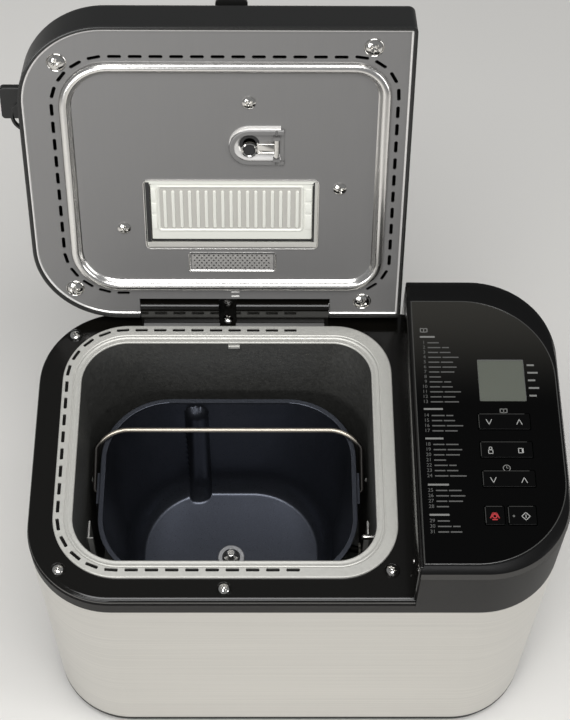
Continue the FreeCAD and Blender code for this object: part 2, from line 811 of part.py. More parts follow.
def make_heater_clips():
    low = chamber_floor
    high = heater_z - heater_radius - 0.1
    places = [(-heater_half[0], 0, 4, 8), (0, -heater_half[1], 8, 4), (0, heater_half[1], 8, 4)]
    clips = []
    for x, y, sx, sy in places:
        foot = block(x - sx, x + sx, y - sy, y + sy, low, low + 1.5)
        stem = block(x - sx / 2, x + sx / 2, y - sy / 2, y + sy / 2, low, high)
        clips.append(join(foot, stem))
    return clips


def make_heater_insulators():
    bushes = []
    for side in (-1, 1):
        y = side * heater_leads / 2
        x = chamber_half[0]
        bush = rod(V(x - 2, y, heater_z), V(x + 6, y, heater_z), insulator_radius)
        wall = x + liner_sheet
        collar = rod(V(wall, y, heater_z), V(wall + 2.5, y, heater_z), insulator_radius + 2.5)
        bore = rod(V(x - 3, y, heater_z), V(x + 7, y, heater_z), heater_radius)
        bushes.append(join(bush, collar).cut(bore))
    return bushes


def make_temperature_sensor():
    y, z = sensor_place
    x = chamber_half[0]
    probe = rod(V(x - sensor_reach, y, z), V(x + 8, y, z), sensor_radius)
    tip = Part.makeSphere(sensor_radius, V(x - sensor_reach, y, z))
    collar = rod(V(x + liner_sheet, y, z), V(x + liner_sheet + 3, y, z), sensor_radius + 4)
    return join(probe, tip, collar)


def make_pan_guides():
    """Folded strips on the side walls that steer the pan down onto its seat."""
    strips = []
    for side in (-1, 1):
        wall = side * chamber_half[0]
        low = chamber_floor + guide_rise
        x0, x1 = sorted((wall, wall - side * rim_sheet))
        back = block(x0, x1, guide_front, guide_front + guide_wide, low, low + guide_high)
        x2, x3 = sorted((wall, wall - side * guide_fold))
        fold = block(x2, x3, guide_front, guide_front + rim_sheet, low, low + guide_high)
        strips.append(join(back, fold))
    return strips


# Drive train under the chamber

def make_pan_seat():
    z = chamber_floor
    hole, edge = seat_inner - seat_flange, seat_outer + seat_flange
    profile = [(hole, z), (edge, z), (edge, z + 3), (seat_outer, z + 4), (seat_outer - 2, z + seat_height),
               (seat_inner, z + seat_height), (seat_inner, z + 4), (hole, z + 4)]
    seat = turned(profile, 0, 0)
    gates = [block(seat_inner - 2, seat_outer + 2, -6, 6, z + 8, z + seat_height + 1),
             block(-seat_outer - 2, -seat_inner + 2, -6, 6, z + 8, z + seat_height + 1)]
    return seat.cut(gates)


def make_chassis_plate():
    left = -chamber_half[0] - 4
    right = motor_x + board_stand + 2
    deep = chassis_half_depth
    plate = slab((left, right, -deep, deep), chassis_corner, chassis_bottom, chassis_top)
    pads = [post(x, y, chassis_top - 0.5, chamber_floor - liner_sheet, pad_radius)
            for x in (36 - chamber_half[0], chamber_half[0] - 36) for y in (20 - deep, deep - 20)]
    upright = block(motor_x + board_stand - board_thick, motor_x + board_stand, 22 - deep, deep - 22,
                    chassis_top - 0.5, chassis_top + chassis_upright)
    plate = join(plate, upright, *pads)
    holes = [post(0, 0, chassis_bottom - 1, chassis_top + 1, bearing_radius),
             post(motor_x, 0, chassis_bottom - 1, chassis_top + 1, motor_shaft_radius + 4)]
    return plate.cut(holes)


def make_drive_bearing():
    low, high = chassis_bottom - 3, chamber_floor + 7
    r, edge, z = bearing_radius, bearing_radius + bearing_flange, chassis_top
    bore = shaft_radius + running_gap
    profile = [(bore, low), (r, low), (r, z), (edge, z), (edge, z + 3), (r, z + 4), (r - 2, high), (bore, high)]
    return turned(profile, 0, 0)


def make_drive_shaft():
    return post(0, 0, pulley_z - 2, chamber_floor + 12, shaft_radius)


def make_drive_coupling():
    low = chamber_floor + coupling_rise
    r = coupling_radius
    bore = shaft_radius
    dish = turned([(bore, low), (r - 11, low), (r, low + 2), (r, low + 4), (bore, low + 4)], 0, 0)
    near, far, half = coupling_lug
    lugs = [block(x0, x1, -half, half, low + 3.5, low + 11) for x0, x1 in ((near, far), (-far, -near))]
    return join(dish, *lugs)


def pulley(radius, bore, x, spokes):
    """V groove pulley with a hub, a web and lightening holes."""
    z = pulley_z
    t = pulley_thick
    rim_in = radius - 9
    low, high = z + (t - belt_width) / 2, z + (t + belt_width) / 2
    profile = [(bore, z), (radius, z), (radius, z + 1.2), (radius - groove_in, low), (radius - groove_in, high),
               (radius, z + t - 1.2), (radius, z + t), (bore, z + t)]
    wheel = turned(profile, x, 0)
    if spokes:
        r0, r1 = bore + 6, rim_in - 1
        dish = turned([(r0, z + 7), (r1, z + 7), (r1, z + t + 1), (r0, z + t + 1)], x, 0)
        wheel = wheel.cut(dish)
        holes = []
        for i in range(spokes):
            a = 2 * math.pi * i / spokes
            middle = (bore + 6 + rim_in - 1) / 2
            holes.append(post(x + middle * math.cos(a), middle * math.sin(a), z - 1, z + t, 8))
        wheel = wheel.cut(holes)
    return wheel


def make_drive_belt():
    big = large_pulley_radius - groove_in + fit_gap
    small = motor_pulley_radius - groove_in + fit_gap
    low = pulley_z + (pulley_thick - belt_width) / 2 + 0.4
    high = low + belt_width - 0.8

    def loop(extra):
        a, b = big + extra, small + extra
        tilt = math.asin((a - b) / motor_x)
        s, c = math.sin(tilt), math.cos(tilt)
        p1, p2 = V(a * s, a * c, low), V(motor_x + b * s, b * c, low)
        q1, q2 = V(a * s, -a * c, low), V(motor_x + b * s, -b * c, low)
        edges = [Part.LineSegment(p1, p2).toShape(), Part.Arc(p2, V(motor_x + b, 0, low), q2).toShape(),
                 Part.LineSegment(q2, q1).toShape(), Part.Arc(q1, V(-a, 0, low), p1).toShape()]
        return Part.Face(Part.Wire(edges)).extrude(V(0, 0, high - low))
    return loop(belt_thick).cut(loop(0))


def make_motor():
    z = chassis_top
    can = post(motor_x, 0, z, z + motor_length, motor_radius)
    can = can.makeFillet(4, edges_at(can, z + motor_length))
    wide = motor_radius + motor_flange
    foot = slab(about((wide, wide), (motor_x, 0)), 12, z, z + 3)
    boss = post(motor_x, 0, z + motor_length - 1, z + motor_length + 6, 9)
    bore = post(motor_x, 0, z - 1, z + motor_shaft_in + 1, motor_shaft_radius + running_gap)
    return join(can, foot, boss).cut(bore)


def make_motor_shaft():
    return post(motor_x, 0, pulley_z - 2, chassis_top + motor_shaft_in, motor_shaft_radius)


def make_power_board():
    """Mains board standing in the chassis upright, with its transformer, relay and capacitor."""
    x = motor_x + board_stand
    deep = chassis_half_depth - 24
    board = block(x, x + board_thick, -deep, deep, chassis_top, chassis_top + 2 * chassis_upright)
    face = x + board_thick
    z = chassis_top + 1.4 * chassis_upright
    high, out = transformer_size
    transformer = block(face, face + out, -deep + 14, -8, z - high / 2, z + high / 2)
    relay = block(face, face + 0.8 * out, 6, deep / 2, z - high / 4, z + high / 4)
    can = rod(V(face, deep - 14, z), V(face + out, deep - 14, z), capacitor_radius)
    return [board, can, transformer, relay]


# Bread pan with its bail and shaft

def pan_form(grow, low):
    """Solid with the pan's plan, grown by a wall: rounded foot, then drafted sides up to the rim."""
    foot = pan_floor_round + grow
    height = pan_top - low
    wires = []
    for turn in (0, 30, 60, 90):
        a = math.radians(turn)
        rise = foot * (1 - math.cos(a))
        wires.append(outline(*pan_section(grow - foot * (1 - math.sin(a)), rise / height), low + rise))
    wires.append(outline(*pan_section(grow, 1.0), pan_top))
    return Part.makeLoft(wires, True, True)


def pan_section(grow, share):
    """Plan outline and corners at a share of the pan's height."""
    half = [f + (t - f) * share + grow for f, t in zip(pan_foot_half, pan_half)]
    corner = pan_foot_corner + (pan_corner - pan_foot_corner) * share + grow
    return about(half), (corner,) * 4


def make_bread_pan():
    outer = pan_form(pan_wall, pan_bottom)
    inner = pan_form(0.0, pan_floor_z)
    foot_y = pan_foot_half[1] + rib_sunk
    top_y = pan_half[1] + rib_sunk
    start = V(rib_x, foot_y, pan_floor_z - pan_wall)
    end = V(rib_x, top_y, pan_top - rib_drop)
    cap = Part.makeCone(rib_radius, rib_radius * 0.4, rib_drop * 0.6, end, end - start)
    rib = join(rod(start, end, rib_radius), cap).common(outer)
    rim_box, rim_corners = pan_section(pan_wall + pan_rim_wide, 1.0)
    rim = slab(rim_box, rim_corners, pan_top - pan_rim_thick, pan_top)
    rim = rim.makeChamfer(pan_rim_thick * 0.35, edges_at(rim, pan_top))
    pan = join(outer, rim).cut(inner)
    pan = join(pan, rib)
    return pan.cut(post(0, 0, pan_bottom - 2, pan_floor_z + 2, hub_radius - hub_ring))


def bail_pivot_z():
    return pan_top - bail_pivot_drop


def make_pan_ears():
    ears = []
    for side in (-1, 1):
        x0 = side * (pan_half[0] + pan_wall)
        x1 = x0 + side * ear_out
        low, high = pan_top - pan_rim_thick - ear_size[1], pan_top - pan_rim_thick
        a, b = sorted((x0, x1))
        plate = block(a, b, -ear_size[0] / 2, ear_size[0] / 2, low, high)
        corners = [e for e in plate.Edges if e.BoundBox.XLength > 1 and e.BoundBox.ZMax < low + 0.1]
        plate = plate.makeFillet(ear_round, corners)
        z = bail_pivot_z()
        bore = rod(V(a - 1, 0, z), V(b + 1, 0, z), bail_wire + running_gap)
        ears.append(plate.cut(bore))
    return ears


def make_bail():
    """Wire bail, bent flat and then laid back on the pan rim."""
    h, r, reach = bail_half, bail_corner, bail_reach
    stub = h - (pan_half[0] + pan_wall + 1.0)
    bend, elbow = bail_bend, bail_elbow
    k = 1 - math.sqrt(0.5)
    turn = math.radians(bail_turn)
    start = h - r * math.sin(turn) - elbow * (1 - math.sin(turn))
    knee = reach - r * (1 - math.cos(turn))
    leg = knee - elbow * math.cos(turn)

    def p(x, s):
        return V(x, s, 0)

    def corner(side):
        """Points of the wide arc and the tight elbow from the straight to one leg."""
        half, mid = turn / 2, turn / 2 + math.pi / 4
        return [p(side * start, reach),
                p(side * (start + r * math.sin(half)), reach - r * (1 - math.cos(half))),
                p(side * (start + r * math.sin(turn)), knee),
                p(side * (h - elbow + elbow * math.sin(mid)), leg + elbow * math.cos(mid)),
                p(side * h, leg)]
    left, right = corner(-1), corner(1)
    edges = [
        Part.LineSegment(p(-h + stub, 0), p(-h + bend, 0)).toShape(),
        Part.Arc(p(-h + bend, 0), p(-h + bend * k, bend * k), p(-h, bend)).toShape(),
        Part.LineSegment(p(-h, bend), left[4]).toShape(),
        Part.Arc(left[4], left[3], left[2]).toShape(),
        Part.Arc(left[2], left[1], left[0]).toShape(),
        Part.LineSegment(left[0], right[0]).toShape(),
        Part.Arc(right[0], right[1], right[2]).toShape(),
        Part.Arc(right[2], right[3], right[4]).toShape(),
        Part.LineSegment(right[4], p(h, bend)).toShape(),
        Part.Arc(p(h, bend), p(h - bend * k, bend * k), p(h - bend, 0)).toShape(),
        Part.LineSegment(p(h - bend, 0), p(h - stub, 0)).toShape(),
    ]
    ring = Part.Wire(Part.makeCircle(bail_wire, p(-h + stub, 0), V(1, 0, 0)))
    wire = Part.Wire(edges).makePipeShell([ring], True, False)
    lift = pan_top + bail_wire + bail_clear - bail_pivot_z()
    rim_reach = reach - bail_crossing
    wire.rotate(V(0, 0, 0), V(1, 0, 0), math.degrees(math.asin(lift / rim_reach)))
    wire.translate(V(0, 0, bail_pivot_z()))
    return wire


def make_pan_base_ring():
    low = chamber_floor + pan_ring_rise
    profile = [(pan_ring_inner, low), (pan_ring_outer, low), (pan_ring_outer, pan_bottom - 3),
               (pan_ring_outer + 6, pan_bottom), (pan_ring_inner, pan_bottom)]
    return turned(profile, 0, 0)


def make_pan_hub():
    """Bush and ring through the pan floor that carries the kneading shaft."""
    bore = pan_shaft_radius + running_gap
    low = pan_bottom - hub_drop
    neck = hub_radius - hub_ring
    z = pan_floor_z
    r = hub_radius
    profile = [(bore, low), (neck, low), (neck, z), (r, z), (r, z + 2.2), (r - 0.8, z + 3), (neck, z + 3),
               (neck - 0.4, z + 1), (bore, z + 1)]
    return turned(profile, 0, 0)


def make_pan_shaft():
    """Kneading shaft with the three splayed drive legs round its post."""
    top = pan_floor_z + pan_shaft_above
    shaft = post(0, 0, chamber_floor + wing_rise, top, pan_shaft_radius)
    shaft = shaft.makeFillet(1.2, edges_at(shaft, top))
    legs = []
    for i in range(3):
        reach = hub_radius - hub_ring - 1.6
        leg = block(pan_shaft_radius - 1.0, reach, -1.3, 1.3, pan_floor_z + 1.4, pan_floor_z + 7)
        leg.rotate(V(0, 0, 0), V(0, 0, 1), 90 + 120 * i)
        legs.append(leg)
    return join(shaft, *legs)


def make_pan_coupling():
    low = chamber_floor + wing_rise
    high = pan_bottom - hub_drop - fit_gap
    wing = slab(about(wing_half), 2, low, high)
    hub = post(0, 0, low, high, 2 * pan_shaft_radius)
    return join(wing, hub).cut(post(0, 0, low - 1, high + 1, pan_shaft_radius))


# Lid, drawn shut

def notch_box():
    return (-block_half_left - notch_side, block_half_right + notch_side)


def make_lid_shell():
    outer = slab(lid_box, lid_corners, lid_lip, lid_top)
    outer = outer.makeFillet(lid_round, [e for e in edges_at(outer, lid_top)
                                         if e.BoundBox.XMin < lid_box[1] - 1])
    inner = slab(inset(lid_box, lid_wall), tighter(lid_corners, lid_wall), lid_lip - 1, lid_skin)
    inner = inner.makeFillet(lid_round - lid_wall, [e for e in edges_at(inner, lid_skin)
                                                    if e.BoundBox.XMin < lid_box[1] - lid_wall - 1])
    shell = outer.cut(inner)
    seat = slab(inset(cover_box, -cover_gap - 3), cover_corner + 3, recess_under, lid_skin + 0.5)
    left, right = notch_box()
    ears = [block(x0, x1, hinge_y - ear_front, lid_box[3] - lid_wall / 2,
                  plate_face + plate_sheet, hinge_z + ear_above)
            for x0, x1 in ((left - pin_in_ear, left), (right, right + pin_in_ear))]
    bosses = [post(x, y, plate_face + plate_sheet, lid_skin + 0.5, boss_radius) for x, y in corner_screws]
    bosses = [b.common(slab(inset(lid_box, 1), tighter(lid_corners, 1), lid_lip, lid_top)) for b in bosses]
    shell = join(shell, seat, *(ears + bosses))
    shell = shell.cut(slab(inset(cover_box, -cover_gap), cover_corner + cover_gap, recess_top, lid_top + 1))
    shell = shell.cut(slab(hopper_box(), 8.0, recess_under - 1, recess_top + 1))
    gap = rod(V(left, hinge_y, hinge_z), V(right, hinge_y, hinge_z), notch_clear)
    below = block(left, right, hinge_y - notch_front, lid_box[3] + 1, 0, hinge_z)
    shell = shell.cut([gap, below])
    ear_bores = [rod(V(left - pin_in_ear - 1, hinge_y, hinge_z), V(left + 1, hinge_y, hinge_z), pin_radius),
                 rod(V(right - 1, hinge_y, hinge_z), V(right + pin_in_ear + 1, hinge_y, hinge_z), pin_radius)]
    pilots = [post(x, y, plate_face, plate_face + lid_screw_length + 1, screw_shank) for x, y in corner_screws]
    shell = shell.cut(ear_bores + pilots)
    knuckles = []
    y, z = cover_axis()
    for x0, x1 in shell_knuckles:
        base = block(x0, x1, y - knuckle_radius, y + knuckle_radius, lid_top - 0.5, z)
        barrel = rod(V(x0, y, z), V(x1, y, z), knuckle_radius)
        knuckles.append(join(base, barrel).cut(rod(V(x0 - 1, y, z), V(x1 + 1, y, z), cover_pin_radius)))
    return join(shell, *knuckles)


def cover_axis():
    return cover_box[3] + cover_axis_back, lid_top + cover_axis_up


def hopper_box():
    """Opening in the lid top over both dispenser compartments."""
    return hopper_sides + (yeast_place[1] - yeast_mouth - hopper_margin, nut_back + 2)


def make_lid_plate():
    low, high = plate_face, plate_face + plate_sheet
    margin = lid_wall + plate_gap
    plate = slab(inset(lid_box, margin), tighter(lid_corners, margin), low, high)
    foot, crest = bead_wide / 2, bead_wide / 2 - bead_high * 0.8
    bead_out = slab(inset(about(bead_half), -foot), tighter(bead_corners, -foot), low - bead_high, low + 0.2)
    bead_out = bead_out.makeFillet(bead_high * 0.9, edges_at(bead_out, low - bead_high))
    bead_in = taper(inset(about(bead_half), foot), tighter(bead_corners, foot), low + 0.3,
                    inset(about(bead_half), crest), tighter(bead_corners, crest), low - bead_high - 0.1)
    plate = join(plate, bead_out.cut(bead_in))
    left, right = notch_box()
    plate = plate.cut(block(left, right, hinge_y - notch_front, lid_box[3] + 1, 0, high + 1))
    plate = plate.cut(slab(nut_opening, 3.0, low - 1, high + 1))
    plate = plate.cut(slab(inset(vent_box, 1.5), 1.0, low - 1, high + 1))
    plate = plate.cut(post(yeast_place[0], yeast_place[1], low - 1, high + 1, yeast_hole))
    slots = slot_cutters(lid_slot_half, lid_slot_corners, lid_slot_start, lid_slots, low - 1, high + 1)
    plate = plate.cut(slots)
    holes = [post(x, y, low - 1, high + 1, screw_shank) for x, y in corner_screws + inner_screws]
    return plate.cut(holes)


def make_corner_screws():
    return [screw(x, y, plate_face, False, corner_screw_head, lid_screw_length) for x, y in corner_screws]


def make_inner_screws():
    return [screw(x, y, plate_face, False, inner_screw_head, inner_screw_length) for x, y in inner_screws]


def make_hinge_pins():
    left, right = notch_box()
    ends = (left - pin_in_ear, right + pin_in_ear)
    return [rod(V(ends[0], hinge_y, hinge_z), V(ends[0] + pin_length, hinge_y, hinge_z), pin_radius),
            rod(V(ends[1] - pin_length, hinge_y, hinge_z), V(ends[1], hinge_y, hinge_z), pin_radius)]


def make_side_grip():
    """Finger tab on the lid's left side with a bowed strip nearer the lip."""
    wall = lid_box[0]
    out, front, back, low, high = grip_tab
    tab = slab((wall - out, wall, front, back), 3.0, low, high)
    tab = tab.makeFillet(1.2, [e for e in tab.Edges if e.BoundBox.XMax < wall - 5])
    middle, half, bulge, low, high = grip_bow
    radius = (half ** 2 + bulge ** 2) / (2 * bulge)
    x = wall - bulge + radius
    bow = post(x, middle, low, high, radius).cut(post(x, middle, low - 1, high + 1, radius - bow_thick))
    return [tab, bow.common(block(wall - 20, wall, middle - 30, middle + 30, low, high))]


def make_dispenser_cover():
    plate = slab(cover_box, cover_corner, recess_top, lid_top)
    plate = plate.makeFillet(1.2, edges_at(plate, lid_top))
    rib = slab(inset(hopper_box(), 2.0), 6.0, recess_top - 2.0, recess_top)
    rib = rib.cut(slab(inset(hopper_box(), 4.0), 4.0, recess_top - 3.0, recess_top + 1))
    high = lid_top + grip_rise
    back = cover_box[2] + grip_back
    grip = slab(grip_x + (lid_box[2] - 1, back), 4.0, lid_top + fit_gap, high)
    pad = slab(grip_x + (cover_box[2] + 1, back), 3.0, recess_top, high)
    grip = join(grip, pad)
    grip = grip.makeFillet(1.2, edges_at(grip, high))
    y, z = cover_axis()
    arms = []
    for x0, x1 in cover_knuckles:
        arm = block(x0, x1, cover_box[3] - 7, y, lid_top - 0.4, z)
        arm = arm.cut(block(x0 - 1, x1 + 1, cover_box[3], y + 1, lid_top - 1, lid_top + fit_gap))
        barrel = rod(V(x0, y, z), V(x1, y, z), knuckle_radius - 0.4)
        bore = rod(V(x0 - 1, y, z), V(x1 + 1, y, z), cover_pin_radius + running_gap)
        arms.append(join(arm, barrel).cut(bore))
    return join(plate, rib, grip, *arms)


def make_cover_pin():
    y, z = cover_axis()
    return rod(V(cover_knuckles[0][0], y, z), V(cover_knuckles[1][1], y, z), cover_pin_radius)


def flap_axis():
    frame = inset(nut_opening, nut_gap + nut_frame)
    return frame[2] + flap_axis_in, plate_face + flap_axis_up


def make_dispenser_tray():
    frame_out = inset(nut_opening, nut_gap)
    frame_in = inset(frame_out, nut_frame)
    low, shelf = plate_face + nut_gap, plate_face + shelf_rise
    frame = slab(frame_out, 2.6, low, shelf + 2)
    frame = frame.cut(slab(frame_in, 1.5, low - 1, shelf))
    bin_out = inset(frame_in, bin_in)
    bin_box = (bin_out[0], bin_out[1], frame_in[2] + bin_front, bin_out[3])
    walls = slab(bin_box, 6.0, shelf, recess_under)
    bore = slab(inset(bin_box, bin_wall), 5.0, shelf - 1, recess_under + 1)
    top = (inner_screws[2][0] - 6, inner_screws[1][0] + 6, inner_screws[0][1] - 6, nut_back + 6)
    flange = slab(top, 8.0, recess_under - 2, recess_under)
    x, y = yeast_place
    z0, z1 = plate_face + plate_sheet + plate_gap, recess_under
    neck, brim = z0 + funnel_throat, z1 - funnel_rim
    small, wide = yeast_hole + bin_wall, yeast_mouth + bin_wall
    funnel = turned([(0, z0), (small, z0), (small, neck), (wide, brim), (wide, z1), (0, z1)], x, y)
    throat = turned([(0, z0 - 1), (yeast_hole, z0 - 1), (yeast_hole, neck), (yeast_mouth, brim),
                     (yeast_mouth, z1 + 1), (0, z1 + 1)], x, y)
    columns = [post(sx, sy, plate_face + plate_sheet, recess_under - 1, column_radius)
               for sx, sy in inner_screws]
    tray = join(frame, walls, flange, funnel, *columns).cut([bore, throat])
    pilots = [post(sx, sy, plate_face, plate_face + inner_screw_length + 1, screw_shank)
              for sx, sy in inner_screws]
    ay, az = flap_axis()
    pin = rod(V(nut_opening[0], ay, az), V(nut_opening[1], ay, az), cover_pin_radius)
    return tray.cut(pilots + [pin])


def make_nut_flap():
    frame_in = inset(nut_opening, nut_gap + nut_frame)
    left, right = frame_in[0] + flap_gap, frame_in[1] - flap_gap
    ay, az = flap_axis()
    back = frame_in[3] - flap_gap
    low = plate_face + 1.6
    leaf = slab((left, right, ay, back), 1.0, low, low + flap_thick)
    barrel = rod(V(left, ay, az), V(right, ay, az), flap_barrel)
    neck = block(left, right, ay, ay + flap_barrel, low, az)
    ribs = []
    rib_left, rib_right = left + flap_rib_in, right - flap_rib_in
    step = (rib_right - rib_left) / (flap_ribs - 1)
    for i in range(flap_ribs):
        x = rib_left + i * step
        rib = slab((x - flap_rib_wide / 2, x + flap_rib_wide / 2, ay + flap_barrel + 2, back - flap_back_rail),
                   flap_rib_wide * 0.45, low - 1.0, low + 0.2)
        ribs.append(rib)
    flap = join(leaf, barrel, neck, *ribs)
    return flap.cut(rod(V(left - 1, ay, az), V(right + 1, ay, az), cover_pin_radius + running_gap))


def make_flap_pin():
    ay, az = flap_axis()
    frame = inset(nut_opening, nut_gap)
    return rod(V(frame[0], ay, az), V(frame[1], ay, az), cover_pin_radius)


def valve_axis():
    return yeast_place[0] + valve_arm, plate_face - valve_axis_drop


def make_yeast_bracket():
    """Stamped U round the yeast outlet with the two ears that hold the valve pin."""
    x, y = yeast_place
    low, high = plate_face - u_high, plate_face
    reach = x + valve_arm + u_tail
    outer = slab((x - u_outer, reach + u_outer, y - u_outer, y + u_outer), u_outer - 0.01, low, high)
    inner_r = u_outer - u_wide
    inner = slab((x - inner_r, reach + inner_r, y - inner_r, y + inner_r), inner_r - 0.01, low - 1, high + 1)
    outer = outer.makeFillet(1.4, edges_at(outer, low))
    u = outer.cut(inner).common(block(x - 40, reach, y - 30, y + 30, low - 1, high + 1))
    ax, az = valve_axis()
    ear = valve_barrel_half + 0.6
    half = valve_barrel + 0.7
    bridge = block(ax + half + 0.1, reach, y - inner_r - 0.5, y + inner_r + 0.5, high - plate_sheet, high)
    ears = []
    for side in (-1, 1):
        y0, y1 = sorted((y + side * ear, y + side * (ear + 2.4)))
        ears.append(block(ax - half, ax + half, y0, y1, az - half, high))
        y0, y1 = sorted((y + side * ear, y + side * (inner_r + 0.6)))
        ears.append(block(ax - half, reach, y0, y1, high - plate_sheet, high))
    bracket = join(u, bridge, *ears)
    return bracket.cut(rod(V(ax, y - u_outer, az), V(ax, y + u_outer, az), valve_pin))


def make_yeast_valve():
    x, y = yeast_place
    high = plate_face - fit_gap
    low = high - valve_thick
    ax, az = valve_axis()
    disc = post(x, y, low, high, valve_radius)
    boss = post(x, y, low - 1.2, low + 0.2, 4.0)
    arm = block(x, ax, y - 4.5, y + 4.5, low, high)
    half = valve_barrel_half
    barrel = rod(V(ax, y - half, az), V(ax, y + half, az), valve_barrel)
    valve = join(disc, boss, arm, barrel)
    return valve.cut(rod(V(ax, y - half - 1, az), V(ax, y + half + 1, az), valve_pin + running_gap))


def make_valve_pin():
    ax, az = valve_axis()
    y = yeast_place[1]
    half = valve_barrel_half + 3.0
    return rod(V(ax, y - half, az), V(ax, y + half, az), valve_pin)


def make_vent_grille():
    low, back_face = plate_face + plate_gap, plate_face + plate_sheet
    plate = slab(inset(vent_box, 1.7), 0.9, low, back_face)
    frame = slab(inset(vent_box, -1.0), 1.5, back_face, back_face + vent_sheet)
    plate = join(plate, frame)
    left, right, front, back = inset(vent_box, 4.0)
    first = (front + back - (vent_rows - 1) * vent_row_step) / 2
    holes = []
    for row in range(vent_rows):
        shift = vent_step / 2 * (row % 2)
        count = int((right - left - shift) / vent_step) + 1
        for i in range(count):
            x, y = left + shift + i * vent_step, first + row * vent_row_step
            plan = [(x + vent_hole * math.cos(k * math.pi / 3), y + vent_hole * math.sin(k * math.pi / 3))
                    for k in range(6)]
            holes.append(prism(plan, low - 1, low + 4))
    return plate.cut(holes)


def make_solenoid(box):
    """Pull solenoid on the back of the lid plate, with its coil frame and plunger."""
    x0, x1, y0, y1 = box
    low = plate_face + plate_sheet
    frame = block(x0, x1, y0, y1, low, low + solenoid_high)
    y, z = (y0 + y1) / 2, low + solenoid_high / 2
    coil = rod(V(x0 - 6, y, z), V(x0, y, z), 3.5)
    return join(frame, coil)


# Every node with its solids

def all_nodes():
    nodes = {
        "rubber_feet": make_feet(),
        "base_tray": make_base_tray(),
        "outer_wrap": make_outer_wrap(),
        "cord_gland": make_cord_gland(),
        "upper_casing": make_upper_casing(),
        "panel_overlay": make_panel_overlay(),
        "lcd_module": make_lcd_module(),
        "lcd_window": make_lcd_window(),
        "control_board": make_control_board(),
        "tact_switches": make_switches(),
        "top_deck": make_top_deck(),
        "deck_screws": make_deck_screws(),
        "chamber_rim": make_chamber_rim(),
        "chamber_liner": make_chamber_liner(),
        "heating_element": make_heating_element(),
        "heater_clips": make_heater_clips(),
        "heater_insulators": make_heater_insulators(),
        "temperature_sensor": make_temperature_sensor(),
        "pan_guides": make_pan_guides(),
    }
    on_axis = {
        "pan_seat": make_pan_seat(),
        "chassis_plate": make_chassis_plate(),
        "drive_bearing": make_drive_bearing(),
        "drive_shaft": make_drive_shaft(),
        "drive_coupling": make_drive_coupling(),
        "large_pulley": pulley(large_pulley_radius, shaft_radius, 0, 5),
        "drive_belt": make_drive_belt(),
        "motor": make_motor(),
        "motor_shaft": make_motor_shaft(),
        "motor_pulley": pulley(motor_pulley_radius, motor_shaft_radius, motor_x, 0),
        "bread_pan": make_bread_pan(),
        "pan_ears": make_pan_ears(),
        "pan_base_ring": make_pan_base_ring(),
        "pan_hub": make_pan_hub(),
        "bail_handle": make_bail(),
        "pan_shaft": make_pan_shaft(),
        "pan_coupling": make_pan_coupling(),
        "power_board": make_power_board(),
    }
    for name, shape in on_axis.items():
        solids = shape if isinstance(shape, list) else [shape]
        nodes[name] = [s.translated(V(0, axis_y, 0)) for s in solids]
    for name, size, place, rocks in keys():
        nodes[name] = make_key(size, place, rocks)
    lid = {
        "lid_shell": make_lid_shell(),
        "lid_plate": make_lid_plate(),
        "lid_corner_screws": make_corner_screws(),
        "lid_inner_screws": make_inner_screws(),
        "hinge_pins": make_hinge_pins(),
        "side_grip": make_side_grip(),
        "dispenser_cover": make_dispenser_cover(),
        "cover_pin": make_cover_pin(),
        "dispenser_tray": make_dispenser_tray(),
        "nut_flap": make_nut_flap(),
        "flap_pin": make_flap_pin(),
        "yeast_bracket": make_yeast_bracket(),
        "yeast_valve": make_yeast_valve(),
        "valve_pin": make_valve_pin(),
        "vent_grille": make_vent_grille(),
        "nut_solenoid": make_solenoid(nut_solenoid_box),
        "yeast_solenoid": make_solenoid(yeast_solenoid_box),
    }
    for name, shape in lid.items():
        solids = shape if isinstance(shape, list) else [shape]
        nodes[name] = [opened(s) for s in solids]
    return nodes


os.makedirs("parts", exist_ok=True)
to_floor = V(-body_middle_x, -body_middle_y, rim_height)
for node, shape in all_nodes().items():
    solids = []
    for piece in shape if isinstance(shape, list) else [shape]:
        solids += piece.Solids
    for solid in solids:
        solid.translate(to_floor)
    whole = solids[0] if len(solids) == 1 else Part.makeCompound(solids)
    whole.exportStep("parts/" + node + ".step")
    state = "valid" if whole.isValid() else "NOT VALID"
    print(node, len(solids), "solids", state, round(whole.Volume / 1000, 2), "cm3")
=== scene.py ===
# %% [markdown]
# This lesson dresses a bread machine. Here every node gets the finish of its real material,
# and the pieces that the eye rests on are modelled again with softer edges and finer detail
# than a solid needs.

# %% Load the frame
import math

import bmesh
import bpy
from mathutils import Matrix, Vector


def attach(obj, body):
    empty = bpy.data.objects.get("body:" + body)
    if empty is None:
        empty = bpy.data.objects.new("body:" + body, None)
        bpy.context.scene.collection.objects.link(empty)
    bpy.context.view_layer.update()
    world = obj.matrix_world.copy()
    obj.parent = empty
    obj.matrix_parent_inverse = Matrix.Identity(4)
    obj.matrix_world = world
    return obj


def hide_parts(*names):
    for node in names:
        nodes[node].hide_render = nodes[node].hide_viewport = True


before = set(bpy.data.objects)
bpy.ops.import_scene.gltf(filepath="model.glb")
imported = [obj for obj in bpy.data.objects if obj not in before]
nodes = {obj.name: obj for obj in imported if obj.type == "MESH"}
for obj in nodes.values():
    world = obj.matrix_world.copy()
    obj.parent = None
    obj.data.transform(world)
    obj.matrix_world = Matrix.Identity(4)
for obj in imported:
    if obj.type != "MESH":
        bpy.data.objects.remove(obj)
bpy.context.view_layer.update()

# %% [markdown]
# The machine was measured about the middle of the slotted chamber rim, in millimetres, with
# the lid shut. Two small steps take a shape drawn that way into the frame of the part: a
# move to the floor under the body, and for lid pieces a swing about the hinge to the open
# stop. Drawing in millimetres about one middle keeps the numbers short and easy to check.

